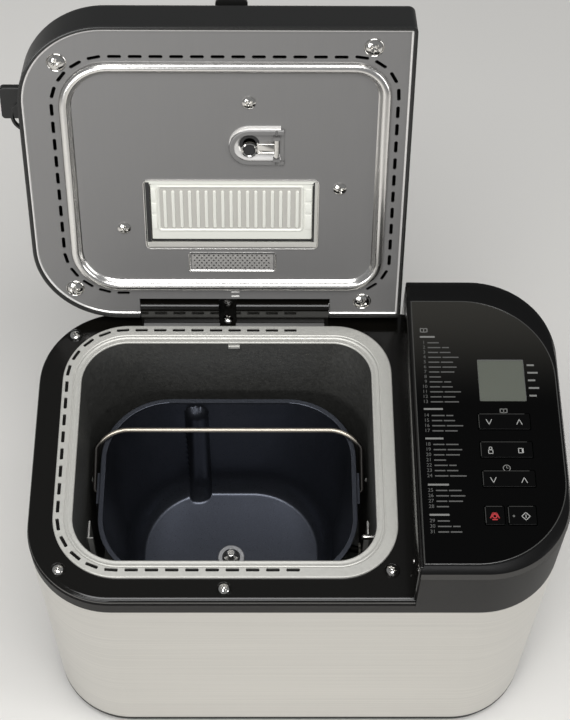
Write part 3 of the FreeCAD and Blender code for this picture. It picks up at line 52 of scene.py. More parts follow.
# %% Measuring frame
RIM_MIDDLE = Vector((-53.0, 3.5, 272.0))
HINGE = Vector((0.0, 123.9, 12.0))
OPEN_ANGLE = math.radians(-109.8)
to_part = Matrix.Scale(0.001, 4) @ Matrix.Translation(RIM_MIDDLE)
opened = Matrix.Rotation(OPEN_ANGLE, 4, "X")
swing = Matrix.Translation(HINGE) @ opened @ Matrix.Translation(-HINGE)
print("rim middle stands", round((to_part @ Vector((0, 0, 0))).z, 4), "m above the floor")

# %% [markdown]
# The camera looks down from the front at the place the photograph was taken from. Its
# lens is a long one, so the upright sides lean together only a little. The small shift
# puts the picture's middle where it was.

# %% Camera
IMAGE_WIDTH, IMAGE_HEIGHT = 570, 720
FOCAL_PIXELS = 1660.144
MIDDLE_X, MIDDLE_Y = 281.015, 351.378
CAMERA_PLACE = Vector((31.268, -614.929, 1150.542))
LOOK_DOWN, YAW, ROLL = math.radians(58.647), math.radians(0.954), math.radians(0.897)
camera_data = bpy.data.cameras.new("camera")
camera_data.sensor_fit = "HORIZONTAL"
camera_data.sensor_width = 36.0
camera_data.lens = FOCAL_PIXELS * camera_data.sensor_width / IMAGE_WIDTH
camera_data.shift_x = (IMAGE_WIDTH / 2 - MIDDLE_X) / IMAGE_WIDTH
camera_data.shift_y = (MIDDLE_Y - IMAGE_HEIGHT / 2) / IMAGE_WIDTH
camera_data.clip_end = 50.0
camera = bpy.data.objects.new("camera", camera_data)
bpy.context.scene.collection.objects.link(camera)
camera.location = to_part @ CAMERA_PLACE
aim = Matrix.Rotation(-YAW, 3, "Z") @ Matrix.Rotation(math.pi / 2 - LOOK_DOWN, 3, "X")
camera.rotation_euler = (aim @ Matrix.Rotation(ROLL, 3, "Z")).to_euler()
bpy.context.scene.camera = camera
print("lens", round(camera_data.lens, 2), "mm")

# %% [markdown]
# Large soft lamps light the machine plainly, as a product studio does. The wide lamp
# overhead gives the long soft streaks on sheet metal, the one at the front fills the lid,
# the strip on the right lights the pod's side, and the world keeps the shadows open. One
# function turns a colour as a screen shows it into the linear values that lights and
# shaders take.

# %% Lamps
bpy.context.scene.view_settings.view_transform = "Standard"
WORLD_STRENGTH = 0.30


def linear(text):
    """An sRGB hex colour as the linear values that shaders take."""
    values = [int(text[i:i + 2], 16) / 255 for i in (1, 3, 5)]
    return [v / 12.92 if v <= 0.04045 else ((v + 0.055) / 1.055) ** 2.4 for v in values] + [1.0]


# Each lamp has a name, a place, what it faces, a width and a height in metres, and watts.
lamps = (("overhead softbox", (0.0, -0.45, 2.2), (0.0, 0.0, 0.2), (1.5, 0.9), 34),
         ("front left softbox", (-1.0, -2.0, 1.1), (0.0, 0.0, 0.2), (1.2, 1.2), 25),
         ("right strip", (1.9, -0.6, 1.0), (0.1, 0.0, 0.2), (0.5, 1.4), 10))
for name, place, target, size, watts in lamps:
    data = bpy.data.lights.new(name, "AREA")
    data.shape = "RECTANGLE"
    data.size, data.size_y = size
    data.energy = watts
    lamp = bpy.data.objects.new(name, data)
    bpy.context.scene.collection.objects.link(lamp)
    lamp.location = place
    facing = Vector(target) - Vector(place)
    lamp.rotation_euler = facing.to_track_quat("-Z", "Y").to_euler()
world = bpy.data.worlds.new("studio")
world.use_nodes = True
sky = world.node_tree.nodes["Background"]
sky.inputs["Color"].default_value = linear("#e6e8ea")
sky.inputs["Strength"].default_value = WORLD_STRENGTH
bpy.context.scene.world = world
print(len(lamps), "lamps")

# %% [markdown]
# A material is a small tree of shader nodes. Three helpers keep each one short: the first
# adds a node with its settings and what feeds it, the second starts a material with one
# shader, and the third links a pattern to that shader. The floor is the first to use them.
# It is a plain sheet of pale paper, large enough to fill the camera's view.

# %% Floor
FLOOR_HALF, FIBRE_MM = 6.0, 2.0


def add(tree, kind, inputs=None, **settings):
    """One node with its settings, its values and the sockets that feed it."""
    node = tree.nodes.new(kind)
    for name, value in settings.items():
        setattr(node, name, value)
    for name, value in (inputs or {}).items():
        if isinstance(value, bpy.types.NodeSocket):
            tree.links.new(value, node.inputs[name])
        else:
            node.inputs[name].default_value = value
    return node


def start_material(name, colour, metallic, roughness, **more):
    """A material with one shader, and the Object coordinates its patterns read."""
    material = bpy.data.materials.new(name)
    material.use_nodes = True
    tree = material.node_tree
    tree.nodes.clear()
    values = {"Base Color": linear(colour), "Metallic": metallic, "Roughness": roughness}
    values.update(more)
    shader = add(tree, "ShaderNodeBsdfPrincipled", values)
    add(tree, "ShaderNodeOutputMaterial", {"Surface": shader.outputs[0]})
    where = add(tree, "ShaderNodeTexCoord").outputs["Object"]
    return material, tree, shader, where


def feed(tree, shader, socket, source):
    """Links a pattern to one of the shader's sockets."""
    tree.links.new(source, shader.inputs[socket])


floor_mesh = bmesh.new()
bmesh.ops.create_grid(floor_mesh, x_segments=1, y_segments=1, size=FLOOR_HALF)
floor_data = bpy.data.meshes.new("floor")
floor_mesh.to_mesh(floor_data)
floor_mesh.free()
floor = bpy.data.objects.new("floor", floor_data)
bpy.context.scene.collection.objects.link(floor)
# Background paper: matt, with a faint cloud of fibres about 2 mm long.
paper, tree, shader, where = start_material("matt background paper", "#dcdad6", 0.0, 0.85)
fibres = add(tree, "ShaderNodeTexNoise",
             {"Vector": where, "Scale": 1000 / FIBRE_MM, "Detail": 2.0})
cloud = add(tree, "ShaderNodeMixRGB", {"Fac": fibres.outputs[0], "Color1": linear("#dbd9d5"),
                                       "Color2": linear("#dddbd7")})
feed(tree, shader, "Base Color", cloud.outputs[0])
floor_data.materials.append(paper)
print("floor", 2 * FLOOR_HALF, "m across")

# %% [markdown]
# Finishes of the machine come next. A fine grain on moulded plastic catches the light as a
# soft haze, so it is a small bump and a little change in roughness rather than a colour. A
# picture of a grain could do this too, but noise needs no file and has no seams.

# %% Moulded plastics
HAZE = 0.06


def grained(name, colour, roughness, grain_mm, depth_mm, specular=0.5, **more):
    """Moulded plastic whose tool was spark eroded: an even fine grain."""
    more["Specular IOR Level"] = specular
    material, tree, shader, where = start_material(name, colour, 0.0, roughness, **more)
    grain = add(tree, "ShaderNodeTexNoise",
                {"Vector": where, "Scale": 1000 / grain_mm, "Detail": 2.0})
    haze = add(tree, "ShaderNodeMapRange", {"Value": grain.outputs[0], "To Min": roughness - HAZE,
                                            "To Max": roughness + HAZE})
    feed(tree, shader, "Roughness", haze.outputs[0])
    bump = add(tree, "ShaderNodeBump", {"Height": grain.outputs[0], "Distance": depth_mm / 1000,
                                        "Strength": 0.5})
    feed(tree, shader, "Normal", bump.outputs[0])
    return material


# ABS, spark eroded with a grain of 0.7 mm: dark grey that never quite shines.
casing_abs = grained("moulded ABS dark grey", "#1c1b1a", roughness=0.50, grain_mm=0.7,
                     depth_mm=0.05, specular=0.15)
lid_abs = grained("moulded ABS lid grey", "#161615", roughness=0.40, grain_mm=0.7,
                  depth_mm=0.05, specular=0.4)
# The pod's chamfer: the same dark ABS painted lighter, a painted highlight where it faces up.
lit_chamfer_abs = grained("moulded ABS chamfer with painted highlight", "#3d3c3a", roughness=0.45, grain_mm=0.7,
                    depth_mm=0.04, specular=0.2)
# The lid's lip, where the grain is polished off; its colour is a little lighter, a painted
# highlight on the rounded edge.
highlit_lip_abs = grained("polished ABS lip with painted highlight", "#1d1d1c", roughness=0.26, grain_mm=1.2, depth_mm=0.01)
# Polypropylene, smooth mould: off white with a wide soft highlight.
pale_pp = grained("moulded polypropylene off white", "#dadad2", roughness=0.34, grain_mm=1.5,
                  depth_mm=0.03, specular=0.45)
# The same polypropylene, rougher and painted darker: painted shade for the flap's valleys and
# bands.
painted_shade_pp = grained("moulded polypropylene with painted shade", "#aeaca6", roughness=0.55, grain_mm=0.6,
                   depth_mm=0.05, specular=0.3)
# Black ABS with a polished tool: deep gloss that shows the lamps.
deck_gloss = grained("piano black ABS", "#0b0a08", roughness=0.14, grain_mm=2.5,
                     depth_mm=0.003, specular=0.35)
# Nylon for hidden gear: plain black.
inner_nylon = grained("moulded black nylon", "#242424", roughness=0.55, grain_mm=0.9, depth_mm=0.05)
# Silicone rubber: matt and dark.
foot_rubber = grained("moulded rubber", "#1f1f1f", roughness=0.75, grain_mm=0.8, depth_mm=0.08)
# Steatite bush: chalky pale ceramic.
steatite = grained("fired steatite", "#d9d4c8", roughness=0.7, grain_mm=0.6, depth_mm=0.06)
# Glass filled board with green lacquer.
board_lacquer = grained("green board lacquer", "#1d4a31", roughness=0.35, grain_mm=1.2,
                        depth_mm=0.03)
print("moulded plastics made")

# %% [markdown]
# Sheet metals differ in how they were rolled or coated. A brushed sheet has long parallel
# scratches, so its noise is stretched along them. A zinc coat has speckled crystals, which
# are the cells of a Voronoi pattern. Both vary the colour and the roughness a little, and
# a polished wire is almost a mirror.

# %% Kinds of sheet metal
CRYSTAL_HAZE = 0.08


def shades(colour, spread):
    """A darker and a lighter shade of one colour."""
    base = linear(colour)[:3]
    return [c * (1 - spread) for c in base] + [1], [min(c * (1 + spread), 1) for c in base] + [1]


def brushed(name, colour, roughness, scratch_mm, spread, depth_mm, tone=0.12, metallic=1.0):
    """Sheet with long scratches, whose size is given along x, y and z."""
    material, tree, shader, where = start_material(name, colour, metallic, roughness)
    stretch = tuple(1000 / size for size in scratch_mm)
    along = add(tree, "ShaderNodeMapping", {"Vector": where, "Scale": stretch})
    scratch = add(tree, "ShaderNodeTexNoise", {"Vector": along.outputs[0], "Scale": 1.0,
                                               "Detail": 4.0, "Roughness": 0.7})
    rough = add(tree, "ShaderNodeMapRange", {"Value": scratch.outputs[0],
                                             "To Min": roughness - spread,
                                             "To Max": roughness + spread})
    feed(tree, shader, "Roughness", rough.outputs[0])
    darker, lighter = shades(colour, tone)
    shade = add(tree, "ShaderNodeMixRGB", {"Fac": scratch.outputs[0], "Color1": darker,
                                           "Color2": lighter})
    feed(tree, shader, "Base Color", shade.outputs[0])
    bump = add(tree, "ShaderNodeBump", {"Height": scratch.outputs[0], "Distance": depth_mm / 1000,
                                        "Strength": 0.4})
    feed(tree, shader, "Normal", bump.outputs[0])
    return material


def speckled(name, colour, roughness, crystal_mm, spread, metallic=1.0):
    """Coated sheet with small crystals that differ in tone."""
    material, tree, shader, where = start_material(name, colour, metallic, roughness)
    crystals = add(tree, "ShaderNodeTexVoronoi", {"Vector": where, "Scale": 1000 / crystal_mm})
    grey = add(tree, "ShaderNodeRGBToBW", {"Color": crystals.outputs["Color"]})
    darker, lighter = shades(colour, spread)
    tone = add(tree, "ShaderNodeMixRGB", {"Fac": grey.outputs[0], "Color1": darker,
                                          "Color2": lighter})
    feed(tree, shader, "Base Color", tone.outputs[0])
    rough = add(tree, "ShaderNodeMapRange", {"Value": grey.outputs[0],
                                             "To Min": roughness - CRYSTAL_HAZE,
                                             "To Max": roughness + CRYSTAL_HAZE})
    feed(tree, shader, "Roughness", rough.outputs[0])
    return material


print("two kinds of sheet ready")

# %% [markdown]
# On the machine these kinds become the brushed wrap, the satin sheet inside the lid, the
# zinc coated rim and chamber, and the bright small parts. A sheet that has to keep its own
# grey, even where the room around it is dark, has its metallic value held down.

# %% Sheet metals
# Anodised wrap, brushed level round the body: the scratches are long in x and y, fine in z.
wrap_sheet = brushed("brushed champagne sheet", "#cfcdc8", roughness=0.38,
                     scratch_mm=(250, 250, 10 / 7), spread=0.12, depth_mm=0.03, tone=0.22)
# Stainless 430 with a satin roll finish on the lid's inside.
lid_sheet = brushed("satin stainless sheet", "#797877", roughness=0.40,
                    scratch_mm=(10 / 3, 100 / 3, 100 / 3), spread=0.02, depth_mm=0.0005,
                    tone=0.03, metallic=0.4)
# The same sheet where a press has drawn it over a bead or an edge: smoother, and painted brighter
# as a painted highlight.
highlit_bead_steel = brushed("pressed stainless with painted highlight", "#e4e2df", roughness=0.22,
                     scratch_mm=(5, 5, 5), spread=0.03, depth_mm=0.0005, tone=0.04)
# Polished pressing painted light so that it stays light on every side, a painted highlight, with
# marks of wear about 2.5 mm long.
highlit_pressing, tree, shader, where = start_material("polished pressing with painted highlight", "#e6e4e1", 0.45, 0.20)
wear = add(tree, "ShaderNodeTexNoise", {"Vector": where, "Scale": 1000 / 2.5, "Detail": 2.0})
polish = add(tree, "ShaderNodeMapRange", {"Value": wear.outputs[0], "To Min": 0.16, "To Max": 0.26})
feed(tree, shader, "Roughness", polish.outputs[0])
# Thin pierced strip of the vent: paler than the sheet round it.
vent_sheet = brushed("pierced vent sheet", "#c0bebb", roughness=0.30,
                     scratch_mm=(10 / 3, 10 / 3, 100 / 3), spread=0.03, depth_mm=0.0005,
                     tone=0.04, metallic=0.7)
# Zinc coated steel of the rim: warm pale grey, almost even.
rim_sheet = speckled("zinc coated rim sheet", "#bab9b3", roughness=0.42, crystal_mm=1.1,
                     spread=0.035, metallic=0.35)
# Guide strips inside the chamber, of the same sheet but painted lighter: painted light for strips
# that sit in shade deep in the chamber.
lightened_guide_sheet = speckled("zinc coated guide strip painted light", "#dcdbd6", roughness=0.42, crystal_mm=1.1,
                       spread=0.035, metallic=0.1)
# Zinc coated chamber: the same, dulled by heat.
liner_sheet = speckled("heat dulled zinc sheet", "#676764", roughness=0.5, crystal_mm=2.2,
                       spread=0.12, metallic=0.7)
# Cold drawn pins and screws, polished.
bright_steel = brushed("polished steel", "#d8d6d2", roughness=0.09,
                       scratch_mm=(10 / 3, 10 / 3, 10 / 3), spread=0.03, depth_mm=0.0005)
# Die cast aluminium: dull and slightly pitted.
cast_alloy = speckled("die cast aluminium", "#a9a9aa", roughness=0.5, crystal_mm=1.4, spread=0.10)
# Heater sheath, oxidised by use.
heater_sheath = speckled("oxidised heater sheath", "#3a3836", roughness=0.55, crystal_mm=1.8,
                         spread=0.2)
# Fluoropolymer coat with mica: slate blue that sparkles on its flakes.
nonstick = speckled("sparkling nonstick coat", "#494c54", roughness=0.34, crystal_mm=0.4,
                    spread=0.20, metallic=0.88)
print("sheet metals made")

# %% [markdown]
# The bail is a drawn wire with a warm lacquer. Its two legs lie in shade beside the pan, and
# that shade is painted on them as a dark colour. It could be painted on the mesh, but here the
# distance from the pan's middle blends the two colours, so that no mesh needs paint.

# %% Bail wire
# The second colour is painted shade on the wire's two legs.
WIRE, SHADED_LEG = "#c6beb0", "#2b2927"
LEG_SHADE_FROM, LEG_SHADE_TO = 0.096, 0.107
bail_steel, tree, shader, where = start_material("lacquered steel wire", WIRE, 0.8, 0.42)
apart = add(tree, "ShaderNodeSeparateXYZ", {"Vector": where})
from_middle = add(tree, "ShaderNodeMath", {0: apart.outputs["X"], 1: -RIM_MIDDLE.x / 1000},
                  operation="ADD")
sideways = add(tree, "ShaderNodeMath", {0: from_middle.outputs[0]}, operation="ABSOLUTE")
heat = add(tree, "ShaderNodeMapRange", {"Value": sideways.outputs[0], "From Min": LEG_SHADE_FROM,
                                        "From Max": LEG_SHADE_TO})
wire_with_shade = add(tree, "ShaderNodeMixRGB", {"Fac": heat.outputs[0], "Color1": linear(WIRE),
                                         "Color2": linear(SHADED_LEG)})
feed(tree, shader, "Base Color", wire_with_shade.outputs[0])
print("bail wire made")

# %% [markdown]
# The control panel is a dark film over clear plastic, the display a grey green reflective
# panel behind a thin window. The film's black turns grey towards the back of the pod. That
# grey is a painted reflection, and again a blend along one axis.

# %% Panel finishes
FILM, REFLECTED_GREY = "#060606", "#2f2e2b"
FADE_FROM, FADE_TO = 0.01, 0.12
# Film printed black from behind; its grey towards the back is a painted reflection.
panel_film, tree, shader, where = start_material("dark panel film", FILM, 0.0, 0.22,
                                                 **{"Specular IOR Level": 0.05})
apart = add(tree, "ShaderNodeSeparateXYZ", {"Vector": where})
fade = add(tree, "ShaderNodeMapRange", {"Value": apart.outputs["Y"], "From Min": FADE_FROM,
                                        "From Max": FADE_TO}, interpolation_type="SMOOTHSTEP")
film_with_reflection = add(tree, "ShaderNodeMixRGB", {"Fac": fade.outputs[0], "Color1": linear(FILM),
                                       "Color2": linear(REFLECTED_GREY)})
feed(tree, shader, "Base Color", film_with_reflection.outputs[0])
key_film = grained("gloss key cap", "#070707", roughness=0.22, grain_mm=1.6, depth_mm=0.01,
                   specular=0.07)
# The frame round the film is moulded black, a shade less deep.
frame_gloss = grained("gloss moulded frame", "#121212", roughness=0.30, grain_mm=1.6,
                      depth_mm=0.01, specular=0.07)
# Where a film or a cap is cut, its edge is painted a lighter grey: a painted highlight for the
# light it catches.
highlight_edge = grained("film edge with painted highlight", "#3b3b39", roughness=0.25, grain_mm=1.6, depth_mm=0.005)
# Liquid crystal display, unlit: its cells of 0.6 mm differ a little in green.
display_film, tree, shader, where = start_material("reflective display", "#70746a", 0.0, 0.35)
cells = add(tree, "ShaderNodeTexNoise", {"Vector": where, "Scale": 1000 / 0.6, "Detail": 1.0})
tint = add(tree, "ShaderNodeMixRGB", {"Fac": cells.outputs[0], "Color1": linear("#343a2a"),
                                      "Color2": linear("#3b4130")})
feed(tree, shader, "Base Color", tint.outputs[0])
# Clear acrylic over the display: almost all of the light goes through.
window_glass = grained("clear acrylic window", "#ffffff", roughness=0.07, grain_mm=3.0,
                       depth_mm=0.001, specular=0.25, Alpha=0.06)
# Screen printed inks: the list is a softer grey than the headings and signs.
INK = {"roughness": 0.6, "grain_mm": 0.5, "depth_mm": 0.005}
dim_ink = grained("grey screen ink", "#4c4c4a", **INK)
head_ink = grained("pale grey screen ink", "#71716e", **INK)
white_ink = grained("white screen ink", "#9a9a97", **INK)
red_ink = grained("red screen ink", "#a01e24", **INK)
# Lamp lens beside the start sign, unlit.
lamp_lens = grained("smoked lamp lens", "#5a5a58", roughness=0.25, grain_mm=1.0, depth_mm=0.005)
print("panel finishes made")

# %% [markdown]
# Each CAD node now takes its finish. The solids stay as they are: only the material in
# their slots changes.

# %% Finishes on the CAD nodes
finishes = {
    casing_abs: ["base_tray", "upper_casing"],
    lid_abs: ["lid_shell", "side_grip", "dispenser_cover"],
    pale_pp: ["dispenser_tray", "nut_flap"],
    deck_gloss: ["top_deck"],
    inner_nylon: ["cord_gland", "tact_switches", "large_pulley"],
    foot_rubber: ["rubber_feet", "drive_belt"],
    steatite: ["heater_insulators"],
    board_lacquer: ["control_board", "power_board"],
    wrap_sheet: ["outer_wrap"],
    lid_sheet: ["lid_plate", "yeast_bracket", "yeast_valve"],
    vent_sheet: ["vent_grille"],
    rim_sheet: ["chamber_rim"],
    lightened_guide_sheet: ["pan_guides"],
    liner_sheet: ["chamber_liner", "heater_clips", "chassis_plate", "motor", "nut_solenoid",
                  "yeast_solenoid"],
    bright_steel: ["deck_screws", "lid_corner_screws", "lid_inner_screws", "hinge_pins",
                   "cover_pin", "flap_pin", "valve_pin", "drive_shaft", "motor_shaft",
                   "pan_shaft", "temperature_sensor"],
    bail_steel: ["bail_handle"],
    cast_alloy: ["pan_seat", "drive_bearing", "drive_coupling", "motor_pulley",
                 "pan_base_ring", "pan_coupling", "pan_hub"],
    heater_sheath: ["heating_element"],
    nonstick: ["bread_pan", "pan_ears"],
    panel_film: ["panel_overlay"],
    key_film: ["select_key", "option_key", "timer_key", "stop_key", "start_key"],
    display_film: ["lcd_module"],
    window_glass: ["lcd_window"],
}
for finish, names in finishes.items():
    for name in names:
        nodes[name].data.materials.clear()
        nodes[name].data.materials.append(finish)
dressed = [name for names in finishes.values() for name in names]
print(len(dressed), "nodes dressed; left over:", sorted(set(nodes) - set(dressed)))

# %% [markdown]
# New pieces are drawn about the rim middle in millimetres, each in a small mesh of its own.
# Most start as a unit square or a unit cube that is stretched over a box, and get their
# round corners from a bevel. The four corners of a piece often differ, so they are found
# by their places and rounded one by one.

# %% Boxes and round corners
TOUCH = 1e-4


def set_out(bm, box, thick, level):
    """Stretches a unit shape over a box and lifts it to its level."""
    left, right, front, back = box
    bmesh.ops.scale(bm, vec=(right - left, back - front, thick), verts=bm.verts)
    middle = ((left + right) / 2, (front + back) / 2, level)
    bmesh.ops.translate(bm, vec=middle, verts=bm.verts)


def four(radii):
    """Four corner radii, where one number stands for all of them."""
    return radii if isinstance(radii, (tuple, list)) else (radii,) * 4


def corners_of(box, radii):
    """Place and radius of each corner: front left, front right, back right and back left."""
    left, right, front, back = box
    return zip(((left, front), (right, front), (right, back), (left, back)), four(radii))


def soften(bm, geom, size, segments, affect="EDGES"):
    """Rounds edges, or the corners of a flat shape."""
    bmesh.ops.bevel(bm, geom=geom, offset=size, affect=affect, segments=segments, profile=0.5,
                    material=-1)


def edges_where(bm, test):
    """The edges whose two ends both pass a test."""
    return [e for e in bm.edges if all(test(v.co) for v in e.verts)]


print("boxes and round corners ready")

# %% [markdown]
# Most of this machine is pressed or moulded, so most pieces are lofts: a row of outlines,
# one at each step of a section, with a skin bridged from each to the next. An outline is a
# rounded flat square whose face is thrown away. Extruding a face step by step would do for
# one shape all the way up, but here the shape often changes from loop to loop.

# %% Outlines and lofts


def take_in(bm, other):
    """Adds another mesh to this one and gives back the edges that came with it."""
    keep = bpy.data.meshes.new("passing")
    other.to_mesh(keep)
    other.free()
    before = set(bm.edges)
    bm.from_mesh(keep)
    bpy.data.meshes.remove(keep)
    return [e for e in bm.edges if e not in before]


def outline(bm, box, radii, level, arc, back_cuts=0):
    """One closed loop of edges round a rounded rectangle."""
    flat = bmesh.new()
    bmesh.ops.create_grid(flat, x_segments=1, y_segments=1, size=0.5)
    set_out(flat, box, 1, level)
    for (x, y), radius in corners_of(box, radii):
        if radius:
            corner = [v for v in flat.verts if abs(v.co.x - x) + abs(v.co.y - y) < TOUCH]
            soften(flat, corner, radius, arc, "VERTICES")
    if back_cuts:
        back_edge = edges_where(flat, lambda co: abs(co.y - box[3]) < TOUCH)
        bmesh.ops.subdivide_edges(flat, edges=back_edge, cuts=back_cuts)
    bmesh.ops.delete(flat, geom=list(flat.faces), context="FACES_ONLY")
    return take_in(bm, flat)


def circle(bm, x, y, radius, level, sides):
    """One round loop of edges."""
    flat = bmesh.new()
    bmesh.ops.create_circle(flat, cap_ends=False, radius=radius, segments=sides)
    bmesh.ops.translate(flat, vec=(x, y, level), verts=flat.verts)
    return take_in(bm, flat)


def bridge(bm, loops, closed=True):
    """Skins a row of loops, and joins the last to the first where the section is closed."""
    following = loops[1:] + (loops[:1] if closed else [])
    for one, two in zip(loops, following):
        bmesh.ops.bridge_loops(bm, edges=one + two)


print("outlines and lofts ready")

# %% [markdown]
# Every drawn mesh ends in the same way, so one helper does it: it closes the seams, turns
# the faces outwards, keeps edges over thirty five degrees crisp, moves the points into the
# frame of the part and says on which body the piece rides.

# %% Finished pieces
WELD = 0.0005


def finished(name, bm, body, material, replaces=(), swung=False, crisp=35):
    """Makes a drawn mesh a piece that rides on a body."""
    bmesh.ops.remove_doubles(bm, verts=bm.verts, dist=WELD)
    bm.normal_update()
    bmesh.ops.recalc_face_normals(bm, faces=bm.faces)
    for face in bm.faces:
        face.smooth = True
    for edge in bm.edges:
        two_sided = len(edge.link_faces) == 2
        edge.smooth = two_sided and edge.calc_face_angle(0) < math.radians(crisp)
    bm.transform(to_part @ swing if swung else to_part)
    mesh = bpy.data.meshes.new(name)
    bm.to_mesh(mesh)
    bm.free()
    piece = bpy.data.objects.new(name, mesh)
    bpy.context.scene.collection.objects.link(piece)
    mesh.materials.append(material)
    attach(piece, body)
    if replaces:
        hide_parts(*replaces)
    print(name, len(mesh.polygons), "faces")
    return piece


print("finishing helper ready")

# %% [markdown]
# The bread pan is deep drawn: its mouth is a rounded oblong, its foot nearly two half
# circles, and straight lines join the two. Its section runs from the hole for the hub under
# the floor, up the outside, over the rolled rim, down the inside and back to the hole.
# Inside, the wall bends gently and then tightly into the floor, and that tight bend is the
# bright line round the floor.

# %% Section of the pan
PAN_TOP, PAN_BOTTOM, PAN_WALL, PAN_Y = -68.6, -211.4, 1.4, -2.5
FLOOR_ROUND, GENTLE_BEND, TIGHT_BEND = 14.4, 35.0, 4.0
floor_level = PAN_BOTTOM + PAN_WALL
# Each station is a level and how far the outline has grown there.
stations = []
for step in range(6):
    angle = math.radians(90 * step / 5)
    stations.append((PAN_BOTTOM + FLOOR_ROUND * (1 - math.cos(angle)),
                     FLOOR_ROUND * (math.sin(angle) - 1)))
rolled_rim = ((2.0, 0.0), (2.0, 2.7), (1.6, 3.0), (0.5, 3.0), (0.1, 2.7), (0.0, 2.3),
              (0.0, 2.1), (0.0, -0.8), (0.0, -1.0), (0.5, -PAN_WALL))
stations += [(PAN_TOP - drop, grow) for drop, grow in rolled_rim]
half_way = math.sin(math.radians(45))
for step in range(8, 0, -1):
    angle = math.radians(45 + 5 * step)
    stations.append((floor_level + TIGHT_BEND * (1 - half_way)
                     + GENTLE_BEND * (half_way - math.cos(angle)),
                     TIGHT_BEND * half_way + GENTLE_BEND * (math.sin(angle) - half_way)
                     - FLOOR_ROUND))
for step in range(6, -1, -1):
    angle = math.radians(7.5 * step)
    stations.append((floor_level + TIGHT_BEND * (1 - math.cos(angle)),
                     TIGHT_BEND * math.sin(angle) - FLOOR_ROUND))
print(len(stations), "stations round the pan's section")

# %% [markdown]
# A loop is drawn at each station and bridged to the next. The dough rib is pressed into the
# back wall from behind, so it isn't a piece of its own: the wall is cut into fine rows and
# its points are pushed in on both faces, with a round top.

# %% Bread pan
MOUTH_X, MOUTH_Y, MOUTH_CORNER = 102.6, 80.5, 54.3
TAPER_X, TAPER_Y, CORNER_GAIN = 13.2, 4.0, 17.2
RIB_X, RIB_PRESS, RIB_HALF, RIB_TOP, RIB_DOME = -28.3, 8.0, 9.6, -74.6, 10.0
CORNER_ARC, BACK_CUTS, WALL_ROWS = 56, 96, 80
HUB_HOLE, WALL_LENGTH, BACK_WALL = 8.1, 60, 20


def pan_loop(bm, level, grow):
    """The pan's outline at one level, grown outwards by a little."""
    down = (PAN_TOP - level) / (PAN_TOP - PAN_BOTTOM)
    half_x = MOUTH_X - TAPER_X * down + grow
    half_y = MOUTH_Y - TAPER_Y * down + grow
    corner = MOUTH_CORNER + CORNER_GAIN * down + grow
    box = (-half_x, half_x, PAN_Y - half_y, PAN_Y + half_y)
    return outline(bm, box, corner, level, CORNER_ARC, BACK_CUTS)


pan = bmesh.new()
loops = [pan_loop(pan, level, grow) for level, grow in stations]
bridge(pan, loops, closed=False)
for loop, level in ((loops[0], PAN_BOTTOM), (loops[-1], floor_level)):
    bmesh.ops.bridge_loops(pan, edges=loop + circle(pan, 0, PAN_Y, HUB_HOLE, level, 64))
walls = [e for e in pan.edges if abs(e.verts[0].co.z - e.verts[1].co.z) > WALL_LENGTH]
bmesh.ops.subdivide_edges(pan, edges=walls, cuts=WALL_ROWS, use_grid_fill=True)
for vert in pan.verts:
    across = abs(vert.co.x - RIB_X) / RIB_HALF
    under = min(max((RIB_TOP - vert.co.z) / RIB_DOME, 0.0), 1.0)
    bulge = 1 - across ** 2 - (1 - under) ** 2
    if vert.co.y > BACK_WALL and bulge > 0:
        vert.co.y -= RIB_PRESS * math.sqrt(bulge)
finished("pan_body", pan, "bread_pan", nonstick, ["bread_pan"], crisp=50)

# %% [markdown]
# Round pieces are turned: a section of a few points is spun about an upright axis. The
# first is the rubber seal on the hub, round the kneading shaft.

# %% Hub seal


def spun(profile, x, y, steps=40):
    """Round piece about an upright axis, from pairs of radius and height."""
    bm = bmesh.new()
    points = [bm.verts.new((radius, 0, level)) for radius, level in profile]
    lines = [bm.edges.new(pair) for pair in zip(points, points[1:])]
    bmesh.ops.spin(bm, geom=points + lines, cent=(0, 0, 0), axis=(0, 0, 1), dvec=(0, 0, 0),
                   angle=2 * math.pi, steps=steps, use_merge=True, use_duplicate=False)
    bmesh.ops.remove_doubles(bm, verts=bm.verts, dist=WELD)
    bmesh.ops.translate(bm, vec=(x, y, 0), verts=bm.verts)
    return bm


seal_section = ((4.3, 1.05), (7.6, 1.05), (7.6, 1.5), (4.3, 1.3), (4.3, 1.05))
hub_seal = spun([(radius, floor_level + rise) for radius, rise in seal_section], 0, PAN_Y)
finished("hub_seal", hub_seal, "bread_pan", foot_rubber)

# %% [markdown]
# The rim round the chamber is one pressed sheet: a flat band pierced by a row of slots, a
# shallow groove and ridge, a slope, and an edge rolled over the top of the chamber's wall.
# Its left corners are wider than its right ones and its four sides differ in breadth, so
# each loop is a blend of the outer and the inner outline.

# %% Section of the rim
RIM_OUT, RIM_OUT_CORNERS = (-132.3, 132.0, -112.5, 110.5), (52.0, 45.0, 45.0, 52.0)
RIM_IN, RIM_IN_CORNERS = (-117.2, 115.6, -98.2, 94.2), (37.0, 31.0, 31.0, 37.0)
ARC = 24
# A bridge between two loops in one plane can't tell which way round they run, so each loop
# is lifted a few microns more than the last.
LOOP_LIFT = 0.003


def rim_loop(bm, share, level):
    """One loop of the rim: share is 0 at its outer edge and 1 at its inner edge."""
    box = [a + share * (b - a) for a, b in zip(RIM_OUT, RIM_IN)]
    radii = [a + share * (b - a) for a, b in zip(RIM_OUT_CORNERS, RIM_IN_CORNERS)]
    return outline(bm, box, radii, level, ARC)


